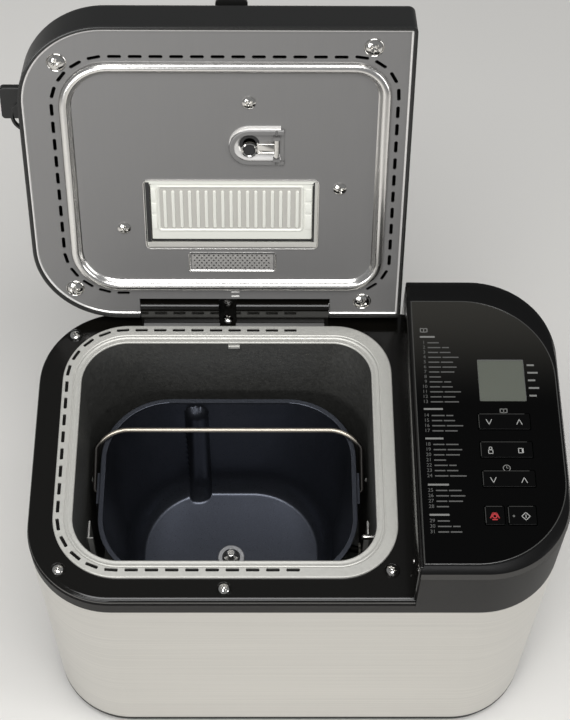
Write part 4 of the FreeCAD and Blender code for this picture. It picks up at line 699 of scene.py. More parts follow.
rim_section = ((0.0, -2.0), (0.0, -0.5), (0.012, -0.2), (0.04, 0.0), (0.055, 0.0), (0.535, 0.0),
               (0.55, 0.0), (0.575, -0.35), (0.615, -0.45), (0.645, -0.2), (0.685, -0.12),
               (0.715, -0.3), (0.75, -0.6), (0.78, -0.68), (0.80, -0.68), (0.90, -0.5),
               (0.92, -0.46), (0.945, -0.46), (0.965, -0.58), (0.985, -0.85), (0.997, -1.2),
               (1.0, -1.6), (1.0, -2.4), (0.93, -2.4), (0.6, -1.7), (0.05, -1.2), (0.05, -2.0))
rim = bmesh.new()
bridge(rim, [rim_loop(rim, share, level + LOOP_LIFT * step)
             for step, (share, level) in enumerate(rim_section)])
print("rim sheet", len(rim.faces), "faces")

# %% [markdown]
# Holes in a sheet could be built into its outline, but a Boolean cuts them out of the
# finished sheet and leaves real holes with crisp edges. The cutters are plain rounded
# slabs: cubes whose upright edges are bevelled first, and then those of the top and bottom.
# The same slabs serve later for ribs, dark strips of painted shade and panels.

# %% Slabs and holes


def slab(box, radii, low, high, top=0.0, bottom=0.0, arc=10, soft=3):
    """Rounded slab with softened top and bottom edges."""
    bm = bmesh.new()
    bmesh.ops.create_cube(bm, size=1.0)
    set_out(bm, box, high - low, (low + high) / 2)
    for (x, y), radius in corners_of(box, radii):
        if radius:
            upright = edges_where(bm, lambda co: abs(co.x - x) + abs(co.y - y) < TOUCH)
            soften(bm, upright, radius, arc)
    for level, size in ((high, top), (low, bottom)):
        if size:
            soften(bm, edges_where(bm, lambda co: abs(co.z - level) < TOUCH), size, soft)
    return bm


def joined(*parts):
    """Several drawn meshes as one."""
    bm = parts[0]
    for other in parts[1:]:
        take_in(bm, other)
    return bm


def cut_out(bm, cutters):
    """Takes one drawn mesh out of another."""
    pair = []
    for drawn in (bm, cutters):
        drawn.normal_update()
        bmesh.ops.recalc_face_normals(drawn, faces=drawn.faces)
        mesh = bpy.data.meshes.new("passing")
        drawn.to_mesh(mesh)
        drawn.free()
        pair.append(bpy.data.objects.new("passing", mesh))
        bpy.context.scene.collection.objects.link(pair[-1])
    boolean = pair[0].modifiers.new("slots", "BOOLEAN")
    boolean.operation, boolean.solver, boolean.object = "DIFFERENCE", "EXACT", pair[1]
    evaluated = pair[0].evaluated_get(bpy.context.evaluated_depsgraph_get())
    cut = bpy.data.meshes.new_from_object(evaluated)
    result = bmesh.new()
    result.from_mesh(cut)
    meshes = [cut] + [obj.data for obj in pair]
    for obj in pair:
        bpy.data.objects.remove(obj)
    for mesh in meshes:
        bpy.data.meshes.remove(mesh)
    return result


print("slabs and holes ready")

# %% [markdown]
# The rim's slots follow one another round the ring. The chain starts at the back and runs
# to the left, and each cutter is sent along it by its own distance: straight on along a
# side, and about the corner's centre round a corner.

# %% Slots of the rim
SLOT_START, SLOT_LEFT, SLOT_CORNER = (50.7, 106.2), -128.7, 46.5
SLOT_PITCH, SLOT_COUNT = 15.2, 36
SLOT_BOX, SLOT_ROUND = (-5.1, 5.1, -1.35, 1.35), 0.8
back_run = SLOT_START[0] - SLOT_LEFT - SLOT_CORNER
side_run = 2 * (SLOT_START[1] - SLOT_CORNER)
quarter = SLOT_CORNER * math.pi / 2
to_centre = Matrix.Translation((0, SLOT_CORNER, 0))
walk = ((back_run, False), (quarter, True), (side_run, False), (quarter, True),
        (2 * back_run, False))
cutters = []
for slot in range(SLOT_COUNT):
    place = Matrix.Translation((*SLOT_START, 0)) @ Matrix.Rotation(math.pi, 4, "Z")
    left_to_go = slot * SLOT_PITCH
    for length, bends in walk:
        step = min(left_to_go, length)
        if bends:
            bend = Matrix.Rotation(step / SLOT_CORNER, 4, "Z")
            place = place @ to_centre @ bend @ to_centre.inverted()
        else:
            place = place @ Matrix.Translation((step, 0, 0))
        left_to_go -= step
    cutters.append(slab(SLOT_BOX, SLOT_ROUND, -3.0, 1.0, arc=4))
    cutters[-1].transform(place)
rim = cut_out(rim, joined(*cutters))
# A small tab hangs from the rim's back edge.
tab = slab((0.0, 9.4, 92.0, 94.6), 0.3, -6.2, -3.0, top=0.3, bottom=0.3, arc=3)
finished("rim_flange", joined(rim, tab), "housing", rim_sheet, ["chamber_rim"])

# %% [markdown]
# The chamber's wall is drawn again too, so that it meets the rim's rolled edge all the way
# round. It is a sheet with two faces, so its loops go down the inside to the hole in the
# floor and come back up the outside. One domed rivet goes through each of its sides.

# %% Chamber wall
CHAMBER, CHAMBER_CORNER = (-116.0, 116.0, -98.0, 93.0), 44.0
CHAMBER_FLOOR, LINER_SHEET = -238.0, 0.8
UNDER_RIM, STRAIGHT_FROM, DRIVE_HOLE = -1.55, -60.0, 27.0
RIVET_PLACE = (24.0, -108.0)


def grown(box, by):
    """A box with each side moved outwards."""
    left, right, front, back = box
    return left - by, right + by, front - by, back + by


wall = bmesh.new()
wall_loops = []
for grow in (0.0, LINER_SHEET):
    box, corner, low = grown(CHAMBER, grow), CHAMBER_CORNER + grow, CHAMBER_FLOOR - grow
    sheet = [outline(wall, grown(RIM_IN, grow), RIM_IN_CORNERS, UNDER_RIM, ARC),
             outline(wall, box, corner, STRAIGHT_FROM, ARC),
             outline(wall, box, corner, low, ARC),
             circle(wall, 0, PAN_Y, DRIVE_HOLE, low, 96)]
    wall_loops += sheet[::-1] if grow else sheet
bridge(wall, wall_loops)
finished("chamber_wall", wall, "housing", liner_sheet, ["chamber_liner"])
rivet = ((0.0, 1.5), (1.0, 1.2), (1.7, 0.6), (2.0, 0.0), (2.0, -0.3), (0.0, -0.3))
heads = []
for side in (-1, 1):
    head = spun(rivet, 0, 0, 24)
    inwards = Matrix.Rotation(-side * math.pi / 2, 3, "Y")
    bmesh.ops.rotate(head, cent=(0, 0, 0), matrix=inwards, verts=head.verts)
    bmesh.ops.translate(head, vec=(side * CHAMBER[1], *RIVET_PLACE), verts=head.verts)
    heads.append(head)
# The rivet heads take the same lighter colour, painted light.
finished("wall_rivets", joined(*heads), "housing", lightened_guide_sheet)

# %% [markdown]
# Screws hold the lid's sheet and the deck. A pan head is turned, and a cross is struck into
# its dome. The cross could be cut out with a Boolean, but pushing down the points of the
# dome that lie within its two arms is quicker and leaves a soft edge, as a die does.

# %% Screws
PLATE, DECK = 4.5, -2.0
DOME_STEPS, DOME_FALL, DOME_BEND = 12, 0.6, 2.4
ARM_HALF, ARM_REACH, CROSS_DEPTH = 0.15, 0.66, 0.65


def cross_screw(x, y, seat, side, radius, high, twist):
    """Dome head with a cross recess; side is 1 for a head that points up and -1 for down."""
    dome = [(radius * i / DOME_STEPS, high * (1 - DOME_FALL * (i / DOME_STEPS) ** DOME_BEND))
            for i in range(DOME_STEPS + 1)]
    bm = spun(dome + [(radius, 0.0), (0.0, 0.0)], 0, 0, 48)
    arm, reach = ARM_HALF * radius, ARM_REACH * radius
    turned = Matrix.Rotation(math.radians(twist), 3, "Z")
    for vert in bm.verts:
        at, out = turned @ vert.co, vert.co.xy.length
        if vert.co.z > 0.3 * high and out < reach and min(abs(at.x), abs(at.y)) < arm:
            vert.co.z -= CROSS_DEPTH * high * (1 - 0.5 * out / reach)
    bmesh.ops.scale(bm, vec=(1, 1, side), verts=bm.verts)
    bmesh.ops.translate(bm, vec=(x, y, seat), verts=bm.verts)
    return bm


# Each screw has a place in x and y and the angle that its cross was left at.
lid_corners_at = ((-122.1, -102.2, 20), (108.9, -115.1, 50), (-122.6, 102.5, 5),
                  (108.5, 115.0, 70))
lid_inner_at = ((17.9, -69.3, 40), (87.5, 6.5, 15), (-80.3, 43.5, 65))
deck_at = ((-125.0, 102.0, 10), (-125.5, -105.5, 45), (-0.4, -121.0, 75), (125.8, -106.0, 30),
           (-0.5, 118.4, 60))
# Each set ends with its seat, the way its heads point, and their radius and height.
screw_sets = (("corner_screws", "lid", "lid_corner_screws", lid_corners_at, PLATE, -1, 5.8, 2.4),
              ("inner_screws", "lid", "lid_inner_screws", lid_inner_at, PLATE, -1, 5.0, 2.4),
              ("deck_screw_heads", "housing", "deck_screws", deck_at, DECK, 1, 4.0, 2.2))
for name, body, node, places, seat, side, radius, high in screw_sets:
    screws = joined(*[cross_screw(x, y, seat, side, radius, high, twist)
                      for x, y, twist in places])
    finished(name, screws, body, bright_steel, [node], side < 0, 30)

# %% [markdown]
# On the lid each corner screw sits in a raised ring that was pressed into the sheet with
# the hole. Four of the deck's screws sit in low moulded cups, and the fifth is on the hinge
# block. Two grey strips lie on the deck in front of the hinge, a painted highlight for the
# light that the deck's edge catches there. Rings and cups are turned, because a section of
# six points is all that they need.

# %% Rings, cups and painted highlight strips
HIGHLIGHT_FRONT, HIGHLIGHT_BACK = 110.3, 114.3
ring_section = ((6.3, -0.1), (6.5, 0.5), (6.9, 0.8), (7.3, 0.5), (7.6, -0.1), (6.3, -0.1))
ring_points = [(radius, PLATE - rise) for radius, rise in ring_section]
rings = joined(*[spun(ring_points, x, y) for x, y, _ in lid_corners_at])
finished("screw_rings", rings, "lid", bright_steel, swung=True)
cup_section = ((4.6, -0.1), (5.0, 0.5), (5.5, 0.7), (6.0, 0.4), (6.2, -0.1), (4.6, -0.1))
cup_points = [(radius, DECK + rise) for radius, rise in cup_section]
cups = joined(*[spun(cup_points, x, y) for x, y, _ in deck_at[:4]])
finished("deck_screw_cups", cups, "housing", deck_gloss)
# Satin grey strips: painted highlight on the black deck in front of the hinge.
deck_highlight = joined(*[slab((left, right, HIGHLIGHT_FRONT, HIGHLIGHT_BACK), 0.5, DECK - 0.1, DECK + 0.25,
                     top=0.15, arc=3) for left, right in ((-69.3, -7.0), (6.0, 78.5))])
finished("hinge_deck_highlight", deck_highlight, "housing", lid_sheet)

# %% [markdown]
# The deck's own edge swells a little before it falls away, and that swell holds a soft
# light. It is a frame: loops that follow one outline at each step of a section. The frame
# is cut off where the pod and the hinge block stand, and it sinks towards the back.

# %% Swell of the deck
SHARPEST = 0.3
SWELL_BOX, SWELL_CORNER, SWELL_ARC = (-151.2, 257.2, -131.2, 124.2), 65.2, 32
POD_AT, HINGE_AT = 141.4, 92.0
SINK, SINK_FROM, SINK_RUN = 0.6, -70, 110


def moulding(box, radii, profile, arc):
    """Rounded frame: each pair of the profile is how far in from the box and how high."""
    bm = bmesh.new()
    loops = []
    for step, (inward, level) in enumerate(profile):
        tight = [max(radius - inward, SHARPEST) for radius in four(radii)]
        loops.append(outline(bm, grown(box, -inward), tight, level + LOOP_LIFT * step, arc))
    bridge(bm, loops)
    return bm


def sliced(bm, place, away, clear=True):
    """Cuts a mesh along a plane and clears what lies beyond it."""
    everything = list(bm.verts) + list(bm.edges) + list(bm.faces)
    bmesh.ops.bisect_plane(bm, geom=everything, plane_co=place, plane_no=away, dist=TOUCH,
                           clear_outer=clear)


def closed_ends(bm):
    """Fills the holes that a cut has left."""
    open_edges = [e for e in bm.edges if len(e.link_faces) == 1]
    bmesh.ops.holes_fill(bm, edges=open_edges, sides=0)
    return bm


swell_section = ((6.8, -2.1), (6.8, -2.02), (5.8, -1.84), (4.8, -1.66), (3.9, -1.6), (3.0, -1.7),
                 (2.2, -1.93), (1.5, -2.2), (1.0, -2.45), (1.2, -2.6))
swell = moulding(SWELL_BOX, SWELL_CORNER, swell_section, SWELL_ARC)
sliced(swell, (POD_AT, 0, 0), (1, 0, 0))
sliced(swell, (0, HINGE_AT, 0), (0, 1, 0))
closed_ends(swell)
for vert in swell.verts:
    vert.co.z -= SINK * min(max((vert.co.y - SINK_FROM) / SINK_RUN, 0.0), 1.0)
finished("deck_swell", swell, "housing", deck_gloss)

# %% [markdown]
# The lid's sheet is stiffened by a bead that runs all round it, and its cut edge is rolled,
# so both catch the light as bright lines, and both are painted lighter as a painted highlight.
# The shell's lip beyond it is rounded too. All three are frames, and the last two have a gap
# at the back for the hinge block.

# %% Lid sheet
LID_BOX, LID_CORNERS = (-153.5, 140.0, -132.0, 130.5), (66.0, 4.0, 4.0, 66.0)
SHEET_BOX, SHEET_CORNERS = (-150.9, 137.4, -129.4, 127.9), (63.4, 1.4, 1.4, 63.4)
BEAD_BOX, BEAD_CORNERS = (-123.5, 123.5, -103.0, 103.0), (38.5, 28.5, 28.5, 38.5)
GAP_LEFT, GAP_RIGHT, GAP_FROM = -71.6, 82.4, 100


def pressed(box, radii, section, arc, level=PLATE):
    """A frame on the lid's inside: each pair is how far in and how far out of the sheet."""
    return moulding(box, radii, [(inward, level - rise) for inward, rise in section], arc)


def open_back(bm):
    """Cuts the hinge block's stretch out of a frame's back side and closes the two ends."""
    for x in (GAP_LEFT, GAP_RIGHT):
        sliced(bm, (x, 0, 0), (1, 0, 0), clear=False)
    middles = {face: face.calc_center_median() for face in bm.faces}
    gone = [face for face, at in middles.items()
            if GAP_LEFT < at.x < GAP_RIGHT and at.y > GAP_FROM]
    bmesh.ops.delete(bm, geom=gone, context="FACES")
    return closed_ends(bm)


bead_section = ((-0.15, -0.2), (0.0, 0.7), (0.5, 2.7), (1.5, 3.7), (2.6, 4.28), (3.8, 4.42),
                (5.6, 4.42), (6.5, 3.85), (7.4, 2.5), (8.3, 1.1), (9.2, 0.3), (9.9, -0.2))
bead = pressed(BEAD_BOX, BEAD_CORNERS, bead_section, ARC)
finished("lid_bead", bead, "lid", highlit_bead_steel, swung=True)
rolled = ((0.05, -0.3), (0.05, 0.4), (0.4, 0.8), (1.0, 0.8), (1.7, 0.2), (1.7, -0.3))
edge_line = pressed(SHEET_BOX, SHEET_CORNERS, rolled, ARC)
finished("lid_sheet_edge", open_back(edge_line), "lid", highlit_pressing, swung=True)
rounded = ((-0.05, 4.0), (-0.05, 2.9), (0.25, 2.5), (0.8, 2.35), (1.6, 2.35), (2.2, 2.5),
           (2.45, 2.9), (2.45, 4.0))
lip = moulding(LID_BOX, LID_CORNERS, rounded, ARC)
finished("lid_lip", open_back(lip), "lid", highlit_lip_abs, swung=True)
# Two short dashes are pressed into the sheet near the hinge; their brightness is a painted
# highlight.
dashes = [slab((2.6, 9.4, y - 0.7, y + 0.7), 0.6, PLATE - 0.5, PLATE + 0.2, bottom=0.3, arc=4)
          for y in (106.0, 110.3)]
finished("catch_mark", joined(*dashes), "lid", highlit_pressing, swung=True)

# %% [markdown]
# The vent is a pierced strip in a pressed frame, and a higher edge of the same kind runs
# round the nut flap; both frames are painted bright, a painted highlight. Dark strips inside
# that edge are painted shade in the gaps beside the flap, two bands there carry painted shade
# too, and a rounded slab is enough for each of them.

# %% Vent and flap surround
vent_section = ((0.0, -0.2), (0.1, 0.35), (0.5, 0.6), (1.2, 0.5), (2.0, -0.35), (1.6, -0.5))
vent = pressed((-30.8, 38.8, 66.5, 85.8), 2.6, vent_section, 6)
finished("vent_frame", vent, "lid", highlit_bead_steel, swung=True)
surround_section = ((0.0, -0.2), (0.1, 0.5), (0.4, 0.9), (0.8, 0.9), (1.2, 0.4), (1.4, -0.5))
surround = pressed((-64.4, 72.0, -1.7, 63.7), 4.6, surround_section, 8)
finished("flap_surround", surround, "lid", highlit_bead_steel, swung=True)
# Each dark strip of painted shade is a box and the level it starts from.
gap_shade_boxes = (((-62.4, -59.4, 1.4, 57.0), 4.65), ((67.1, 68.3, 1.4, 57.0), 4.65),
              ((-59.4, 67.1, 55.7, 57.0), 6.4))
gap_shades = joined(*[slab(box, 0.4, low, low + 0.4, bottom=0.1, arc=3) for box, low in gap_shade_boxes])
finished("flap_gap_shades", gap_shades, "lid", foot_rubber, swung=True)
# Two bands beside the flap carry painted shade.
band_boxes = ((68.3, 70.5, 0.6, 57.2), (-62.0, 70.5, 57.2, 61.8))
bands = joined(*[slab(box, 0.4, 4.6, 5.0, bottom=0.15, arc=3) for box in band_boxes])
finished("flap_bands", bands, "lid", painted_shade_pp, swung=True)

# %% [markdown]
# The nut flap itself is a moulding with seventeen rounded ribs inside a raised border,
# stepped tabs at its ends and a barrel on its pin. The valleys between the ribs are a thin
# slab of their own in a darker finish, which is painted shade.

# %% Nut flap
LEAF = 6.1
FLAP_RIBS, FIRST_RIB, RIB_PITCH, RIB_WIDE = 17, -47.7, 6.41, 1.35


def rod(radius, length, middle, about=None, sides=24):
    """A round rod: upright, or laid down by a quarter turn about x or y."""
    bm = bmesh.new()
    bmesh.ops.create_cone(bm, cap_ends=True, segments=sides, radius1=radius, radius2=radius,
                          depth=length)
    if about:
        laid = Matrix.Rotation(math.pi / 2, 3, about)
        bmesh.ops.rotate(bm, cent=(0, 0, 0), matrix=laid, verts=bm.verts)
    bmesh.ops.translate(bm, vec=middle, verts=bm.verts)
    return bm


leaf = slab((-58.6, 66.6, 2.2, 55.3), 1.0, LEAF, LEAF + 2.0, top=0.3, bottom=0.7, arc=4)
border_section = ((0.0, -0.3), (0.3, 0.8), (1.0, 1.3), (1.7, 0.9), (2.2, 0.2), (2.4, -0.3))
border = pressed((-54.0, 60.0, 4.6, 47.2), 3.0, border_section, 6, LEAF)
ribs = [slab((x - RIB_WIDE, x + RIB_WIDE, 9.4, 43.8), 1.3, LEAF - 1.6, LEAF + 0.3, bottom=1.2,
             arc=5, soft=5) for x in (FIRST_RIB + RIB_PITCH * i for i in range(FLAP_RIBS))]
tab_columns = ((-58.4, -54.4), (61.0, 66.4))
tab_rows = ((8.0, 19.2), (21.4, 30.2), (32.4, 45.4))
tabs = [slab((left, right, front, back), 0.7, LEAF - 0.5, LEAF + 0.3, bottom=0.35, arc=3)
        for left, right in tab_columns for front, back in tab_rows]
barrel = rod(2.2, 125.2, (4.0, 6.6, 8.7), "Y")
flap = joined(leaf, border, barrel, *(ribs + tabs))
finished("nut_flap_leaf", flap, "nut_flap", pale_pp, ["nut_flap"], True, 40)
# Painted shade between the ribs.
valleys = slab((-51.8, 57.8, 6.8, 45.0), 2.0, LEAF - 0.12, LEAF + 0.3, arc=4)
finished("nut_flap_valleys", valleys, "nut_flap", painted_shade_pp, swung=True)

# %% [markdown]
# Yeast falls through a round outlet inside a pressed U. The U has two narrow ridges and a
# flank that slopes in to the outlet. It is drawn as a whole frame and cut off where the U
# ends, which gives both of its legs the same section.

# %% Yeast outlet
YEAST_X, YEAST_Y, OUTLET_Y, U_END = 18.1, -30.8, -33.4, 41.8
u_section = ((0.0, -0.2), (0.1, 0.9), (0.45, 1.5), (0.95, 1.5), (1.4, 1.0), (1.9, 1.0),
             (2.4, 1.6), (2.9, 1.7), (3.5, 1.4), (4.4, 1.2), (8.0, -0.4), (8.0, -0.8))
u_bead = pressed((2.4, 70.0, -49.2, -17.6), 15.8, u_section, ARC)
sliced(u_bead, (U_END, 0, 0), (1, 0, 0))
# The U is painted light all round, a painted highlight.
finished("yeast_u", closed_ends(u_bead), "lid", highlit_pressing, swung=True)
seat_section = ((5.0, -0.2), (7.8, -0.2), (7.6, 0.25), (5.2, 0.15), (5.0, -0.2))
seat = spun([(radius, PLATE - rise) for radius, rise in seat_section], YEAST_X, OUTLET_Y)
finished("yeast_seat", seat, "lid", foot_rubber, swung=True)

# %% [markdown]
# The valve over the outlet is a stamped plate: a ring with a rubber pad in its middle, an
# arm with two folded sides, and a barrel on the pin.

# %% Yeast valve
valve_y, plate_low = YEAST_Y + 1.6, PLATE - 1.9
cap = spun([(4.4, plate_low + 0.6), (4.6, plate_low - 0.6), (5.3, plate_low - 1.1),
            (6.1, plate_low - 0.7), (6.4, plate_low + 0.4), (6.4, PLATE - 0.4),
            (4.4, PLATE - 0.4), (4.4, plate_low + 0.6)], YEAST_X, valve_y)
arm = slab((YEAST_X + 5.6, YEAST_X + 20.0, YEAST_Y - 4.4, YEAST_Y + 4.4), 0.6, plate_low,
           PLATE - 0.3, top=0.1, bottom=0.3, arc=3)
sides = [slab((YEAST_X + 6.4, YEAST_X + 19.4, y - 0.6, y + 0.6), 0.4, plate_low - 1.6,
              plate_low + 0.4, bottom=0.5, arc=3) for y in (YEAST_Y - 3.8, YEAST_Y + 3.8)]
barrel = rod(1.9, 15.2, (YEAST_X + 20.4, YEAST_Y, PLATE - 2.3), "X")
finished("yeast_valve_plate", joined(cap, arm, barrel, *sides), "yeast_valve", bright_steel,
         ["yeast_valve"], True)
pad = spun([(0.0, plate_low - 0.1), (4.0, plate_low - 0.1), (4.5, plate_low + 0.3),
            (4.5, PLATE - 0.6), (0.0, PLATE - 0.6)], YEAST_X, valve_y)
finished("yeast_valve_pad", pad, "yeast_valve", foot_rubber, swung=True)

# %% [markdown]
# The pod's top is framed by a black shoulder that slopes from the panel to the casing, with
# a chamfer under it that is painted a shade lighter than the face below: a painted highlight
# where it faces up to the lamps. Its side towards the chamber is a gloss black panel with a
# rounded top. All are thin mouldings over the casing, so they are drawn as skins that stand
# a fraction proud of it.

# %% Pod
POD_LEFT = 143.0


def pod_skin(loops):
    """A skin round the pod, square on the chamber's side and rounded on the right."""
    bm = bmesh.new()
    bridge(bm, [outline(bm, (POD_LEFT, right, front, back), (0, radius, radius, 0), level, ARC)
                for right, front, back, radius, level in loops])
    return bm


# Each loop has its right, front and back, the radius of its right corners, and its level.
shoulder = pod_skin(((256.1, -130.1, 123.1, 64.1, 45.45), (256.0, -129.6, 122.6, 64.5, 45.9),
                     (255.8, -124.8, 117.4, 71.2, 48.0), (255.0, -124.0, 104.6, 70.8, 48.12),
                     (254.4, -123.2, 103.7, 70.2, 48.08), (254.4, -123.2, 103.7, 70.2, 47.2),
                     (255.0, -126.0, 117.0, 68.0, 46.2), (255.6, -129.4, 122.4, 64.0, 45.2)))
finished("pod_shoulder", shoulder, "housing", frame_gloss)
chamfer = pod_skin(((257.99, -131.99, 124.99, 65.99, 40.6), (256.2, -130.2, 123.2, 64.2, 45.35),
                    (255.4, -129.4, 122.4, 63.4, 45.3), (257.2, -131.2, 124.2, 65.2, 40.65)))
finished("pod_chamfer", chamfer, "housing", lit_chamfer_abs)
# The film's edge is a fine ridge in a lighter grey, a painted highlight.
film_section = ((-0.2, 47.4), (-0.2, 48.1), (0.0, 48.2), (0.4, 48.2), (0.55, 48.03), (0.55, 47.4))
film_edge = moulding((145.6, 254.2, -123.0, 103.5), (0.8, 70.0, 70.0, 0.8), film_section, ARC)
finished("panel_edge", film_edge, "housing", highlight_edge)
side_panel = slab((141.7, 145.3, -126.5, 118.0), (0.6, 0.3, 0.3, 0.6), -1.95, 48.1, top=1.0,
                  arc=4, soft=5)
finished("pod_side", side_panel, "housing", deck_gloss)
# The pin that the lid's catch closes on is a small steel bead in that side.
catch_pin = bmesh.new()
bmesh.ops.create_uvsphere(catch_pin, u_segments=20, v_segments=12, radius=1.6)
bmesh.ops.scale(catch_pin, vec=(0.7, 1, 1.3), verts=catch_pin.verts)
bmesh.ops.translate(catch_pin, vec=(141.7, -103.5, 10.0), verts=catch_pin.verts)
finished("lid_catch_pin", catch_pin, "housing", bright_steel)

# %% [markdown]
# The control panel carries marks that are printed on the film: numbers beside short bars
# for the programs, and plain signs on the keys. A picture on the film would blur up close,
# so the print is thin geometry that stands a few hundredths of a millimetre proud. Numbers
# are text turned into a mesh; bars, arrows and rings are thin boxes and bridged circles.

# %% Print helpers
PANEL_TOP, PRINT = 48.0, 0.05


def bar(bm, start, end, width, level):
    """A straight printed stroke."""
    start, end = Vector(start), Vector(end)
    run = end - start
    middle = ((start.x + end.x) / 2, (start.y + end.y) / 2, level + PRINT / 2)
    turned = Matrix.Translation(middle) @ Matrix.Rotation(math.atan2(run.y, run.x), 4, "Z")
    size = Matrix.Diagonal((run.length + width * 0.4, width, PRINT, 1))
    bmesh.ops.create_cube(bm, size=1.0, matrix=turned @ size)


def ring(bm, x, y, radius, width, level, sides=28):
    """A printed circle line."""
    edges = []
    for edge_radius in (radius - width / 2, radius + width / 2):
        edges += circle(bm, x, y, edge_radius, level + PRINT, sides)
    bmesh.ops.bridge_loops(bm, edges=edges)


def number(bm, text, right, y, size, level):
    """A number that ends at the given place."""
    curve = bpy.data.curves.new("number", "FONT")
    curve.body = text
    curve.size = size
    curve.align_x = "RIGHT"
    curve.align_y = "CENTER"
    curve.resolution_u = 3
    holder = bpy.data.objects.new("number", curve)
    mesh = bpy.data.meshes.new_from_object(holder)
    mesh.transform(Matrix.Translation((right, y, level + PRINT)))
    bm.from_mesh(mesh)
    bpy.data.objects.remove(holder)
    bpy.data.curves.remove(curve)
    bpy.data.meshes.remove(mesh)


def signs(bm, lines, x, y, level, width=0.55):
    """Several strokes about one middle."""
    for x0, y0, x1, y1 in lines:
        bar(bm, (x + x0, y + y0), (x + x1, y + y1), width, level)


print("print helpers ready")

# %% [markdown]
# The program list is thirty one numbered lines in five groups. Each line is a number and
# a bar or two, and each group starts with a bolder bar.

# %% Program list
NUMBER_RIGHT, NUMBER_SIZE, LINE_PITCH = 154.9, 4.1, 4.42
HEAD_LEFT, HEAD_RUN, HEAD_WIDTH = 151.4, 11.0, 1.5
BAR_LEFT, BAR_GAP, BAR_WIDTH, BAR_DROP = 157.0, 1.6, 1.0, 0.2
# Each group has the level of its heading, that of its first line, and a count of lines.
groups = ((70.2, 65.0, 13), (5.5, 0.0, 4), (-20.0, -24.9, 7), (-58.9, -63.5, 4),
          (-83.6, -88.4, 3))
bar_runs = ((8.5,), (7.5, 8.0), (8.0, 9.0), (7.5, 10.0), (9.5, 5.0), (9.5, 12.0), (9.0, 10.5))
list_print, head_print = bmesh.new(), bmesh.new()
count = 0
for head_y, first_y, lines in groups:
    head_end = HEAD_LEFT + HEAD_RUN + count % 5
    bar(head_print, (HEAD_LEFT, head_y), (head_end, head_y), HEAD_WIDTH, PANEL_TOP)
    for line in range(lines):
        y = first_y - LINE_PITCH * line
        number(list_print, str(count + 1), NUMBER_RIGHT, y, NUMBER_SIZE, PANEL_TOP)
        x = BAR_LEFT
        for run in bar_runs[(count * 3 + line) % len(bar_runs)]:
            bar(list_print, (x, y - BAR_DROP), (x + run, y - BAR_DROP), BAR_WIDTH, PANEL_TOP)
            x += run + BAR_GAP
        count += 1
print(count, "numbered lines")

# %% [markdown]
# Over the list and the keys stand small generic signs, an open book and a clock, and five
# bars beside the display mark the stages of a program.

# %% Panel signs
STAGES, STAGE_X, STAGE_Y, STAGE_PITCH = 5, 233.0, 44.5, 6.8
CLOCK = (210.7, -45.1)
book_sign = ((-2.6, 1.6, 0, 1.3), (0, 1.3, 2.6, 1.6), (-2.6, -1.6, 0, -1.9), (0, -1.9, 2.6, -1.6),
             (-2.6, -1.6, -2.6, 1.6), (2.6, -1.6, 2.6, 1.6), (0, -1.9, 0, 1.3))
clock_hands = ((0, 0, 0, 1.5), (0, 0, 1.1, 0))
for x, y in ((154.4, 76.4), (211.9, 4.1)):
    signs(head_print, book_sign, x, y, PANEL_TOP, 0.6)
ring(head_print, *CLOCK, 2.6, 0.55, PANEL_TOP)
signs(head_print, clock_hands, *CLOCK, PANEL_TOP, 0.5)
for stage in range(STAGES):
    y = STAGE_Y - STAGE_PITCH * stage
    bar(head_print, (STAGE_X, y), (238.0 + 2.4 * (stage % 2), y), HEAD_WIDTH, PANEL_TOP)
finished("program_list", list_print, "housing", dim_ink)
finished("panel_signs", head_print, "housing", head_ink)

# %% [markdown]
# Key signs ride on their keys, so that they move when a key is pressed. Two keys have
# arrows, the one between them a lock and a loaf's size. Stop is a red sign, start a diamond.

# %% Key signs
KEY_TOP = PANEL_TOP + 0.6
down_sign = ((-2.1, 2.2, 0, -2.2), (0, -2.2, 2.1, 2.2))
up_sign = ((-2.1, -2.2, 0, 2.2), (0, 2.2, 2.1, -2.2))
lock_sign = ((-1.6, -2.4, 1.6, -2.4), (1.6, -2.4, 1.6, 0.6), (1.6, 0.6, -1.6, 0.6),
             (-1.6, 0.6, -1.6, -2.4))
size_sign = ((-1.9, -1.9, 1.0, -1.9), (-1.9, 1.9, 1.0, 1.9), (-1.9, -1.9, -1.9, 1.9))
stop_sign = ((-3.2, -1.6, -1.4, 2.4), (3.2, -1.6, 1.4, 2.4), (-1.4, 2.4, 1.4, 2.4),
             (-1.8, -2.8, 1.8, -2.8))
diamond = ((-3.1, 0, 0, 3.1), (0, 3.1, 3.1, 0), (3.1, 0, 0, -3.1), (0, -3.1, -3.1, 0),
           (0, -1.2, 0, 1.2))
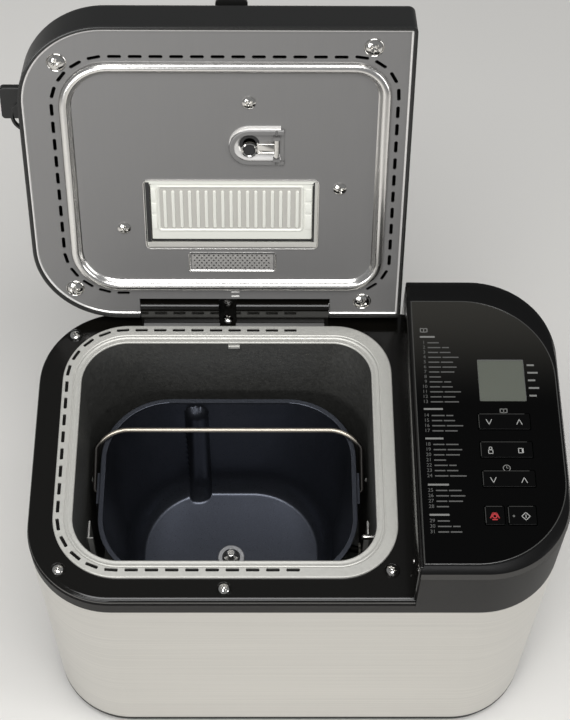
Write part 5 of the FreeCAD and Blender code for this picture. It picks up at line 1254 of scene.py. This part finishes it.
for body, y in (("select_key", -6.0), ("timer_key", -55.3)):
    marks = bmesh.new()
    signs(marks, down_sign, 200.0, y, KEY_TOP)
    signs(marks, up_sign, 223.0, y, KEY_TOP)
    finished(body + "_signs", marks, body, white_ink)
marks = bmesh.new()
signs(marks, lock_sign, 199.6, -30.6, KEY_TOP)
ring(marks, 199.6, -28.6, 1.1, 0.5, KEY_TOP)
signs(marks, size_sign, 222.5, -30.6, KEY_TOP)
bar(marks, (223.7, -32.3), (223.7, -28.9), 1.3, KEY_TOP)
finished("option_key_signs", marks, "option_key", white_ink)
marks = bmesh.new()
ring(marks, 198.9, -84.9, 1.5, 0.9, KEY_TOP)
signs(marks, stop_sign, 198.9, -84.9, KEY_TOP, 0.9)
finished("stop_key_sign", marks, "stop_key", red_ink)
marks = bmesh.new()
signs(marks, diamond, 221.8, -85.0, KEY_TOP, 0.6)
finished("start_key_sign", marks, "start_key", white_ink)

# %% [markdown]
# Each key cap has an edge that catches the light at its left and its back, and that light is
# painted: two fine bars in a lighter grey, a painted highlight. A small lamp lens sits beside
# the start sign.

# %% Key edges and lamp
EDGE_IN = 0.45
# Each key has its middle in x and y, half of its width and half of its depth.
keys = {"select_key": (211.6, -5.5, 19.6, 6.85), "option_key": (211.6, -29.6, 19.6, 6.85),
        "timer_key": (211.6, -54.1, 19.6, 6.85), "stop_key": (199.0, -84.2, 7.2, 7.7),
        "start_key": (219.2, -84.2, 10.4, 7.7)}
for body, (x, y, half_x, half_y) in keys.items():
    marks = bmesh.new()
    left, back = x - half_x + EDGE_IN, y + half_y - EDGE_IN
    bar(marks, (left, y - 0.8 * half_y), (left, back - 0.8), 0.45, KEY_TOP)
    bar(marks, (left + 0.8, back), (x + 0.8 * half_x, back), 0.4, KEY_TOP)
    finished(body + "_edge", marks, body, highlight_edge)
low, high = KEY_TOP - 0.3, KEY_TOP + 0.15
lens = rod(0.9, high - low, (212.9, -84.8, (low + high) / 2), sides=20)
soften(lens, edges_where(lens, lambda co: abs(co.z - high) < TOUCH), 0.1, 2)
finished("start_lamp", lens, "start_key", lamp_lens)
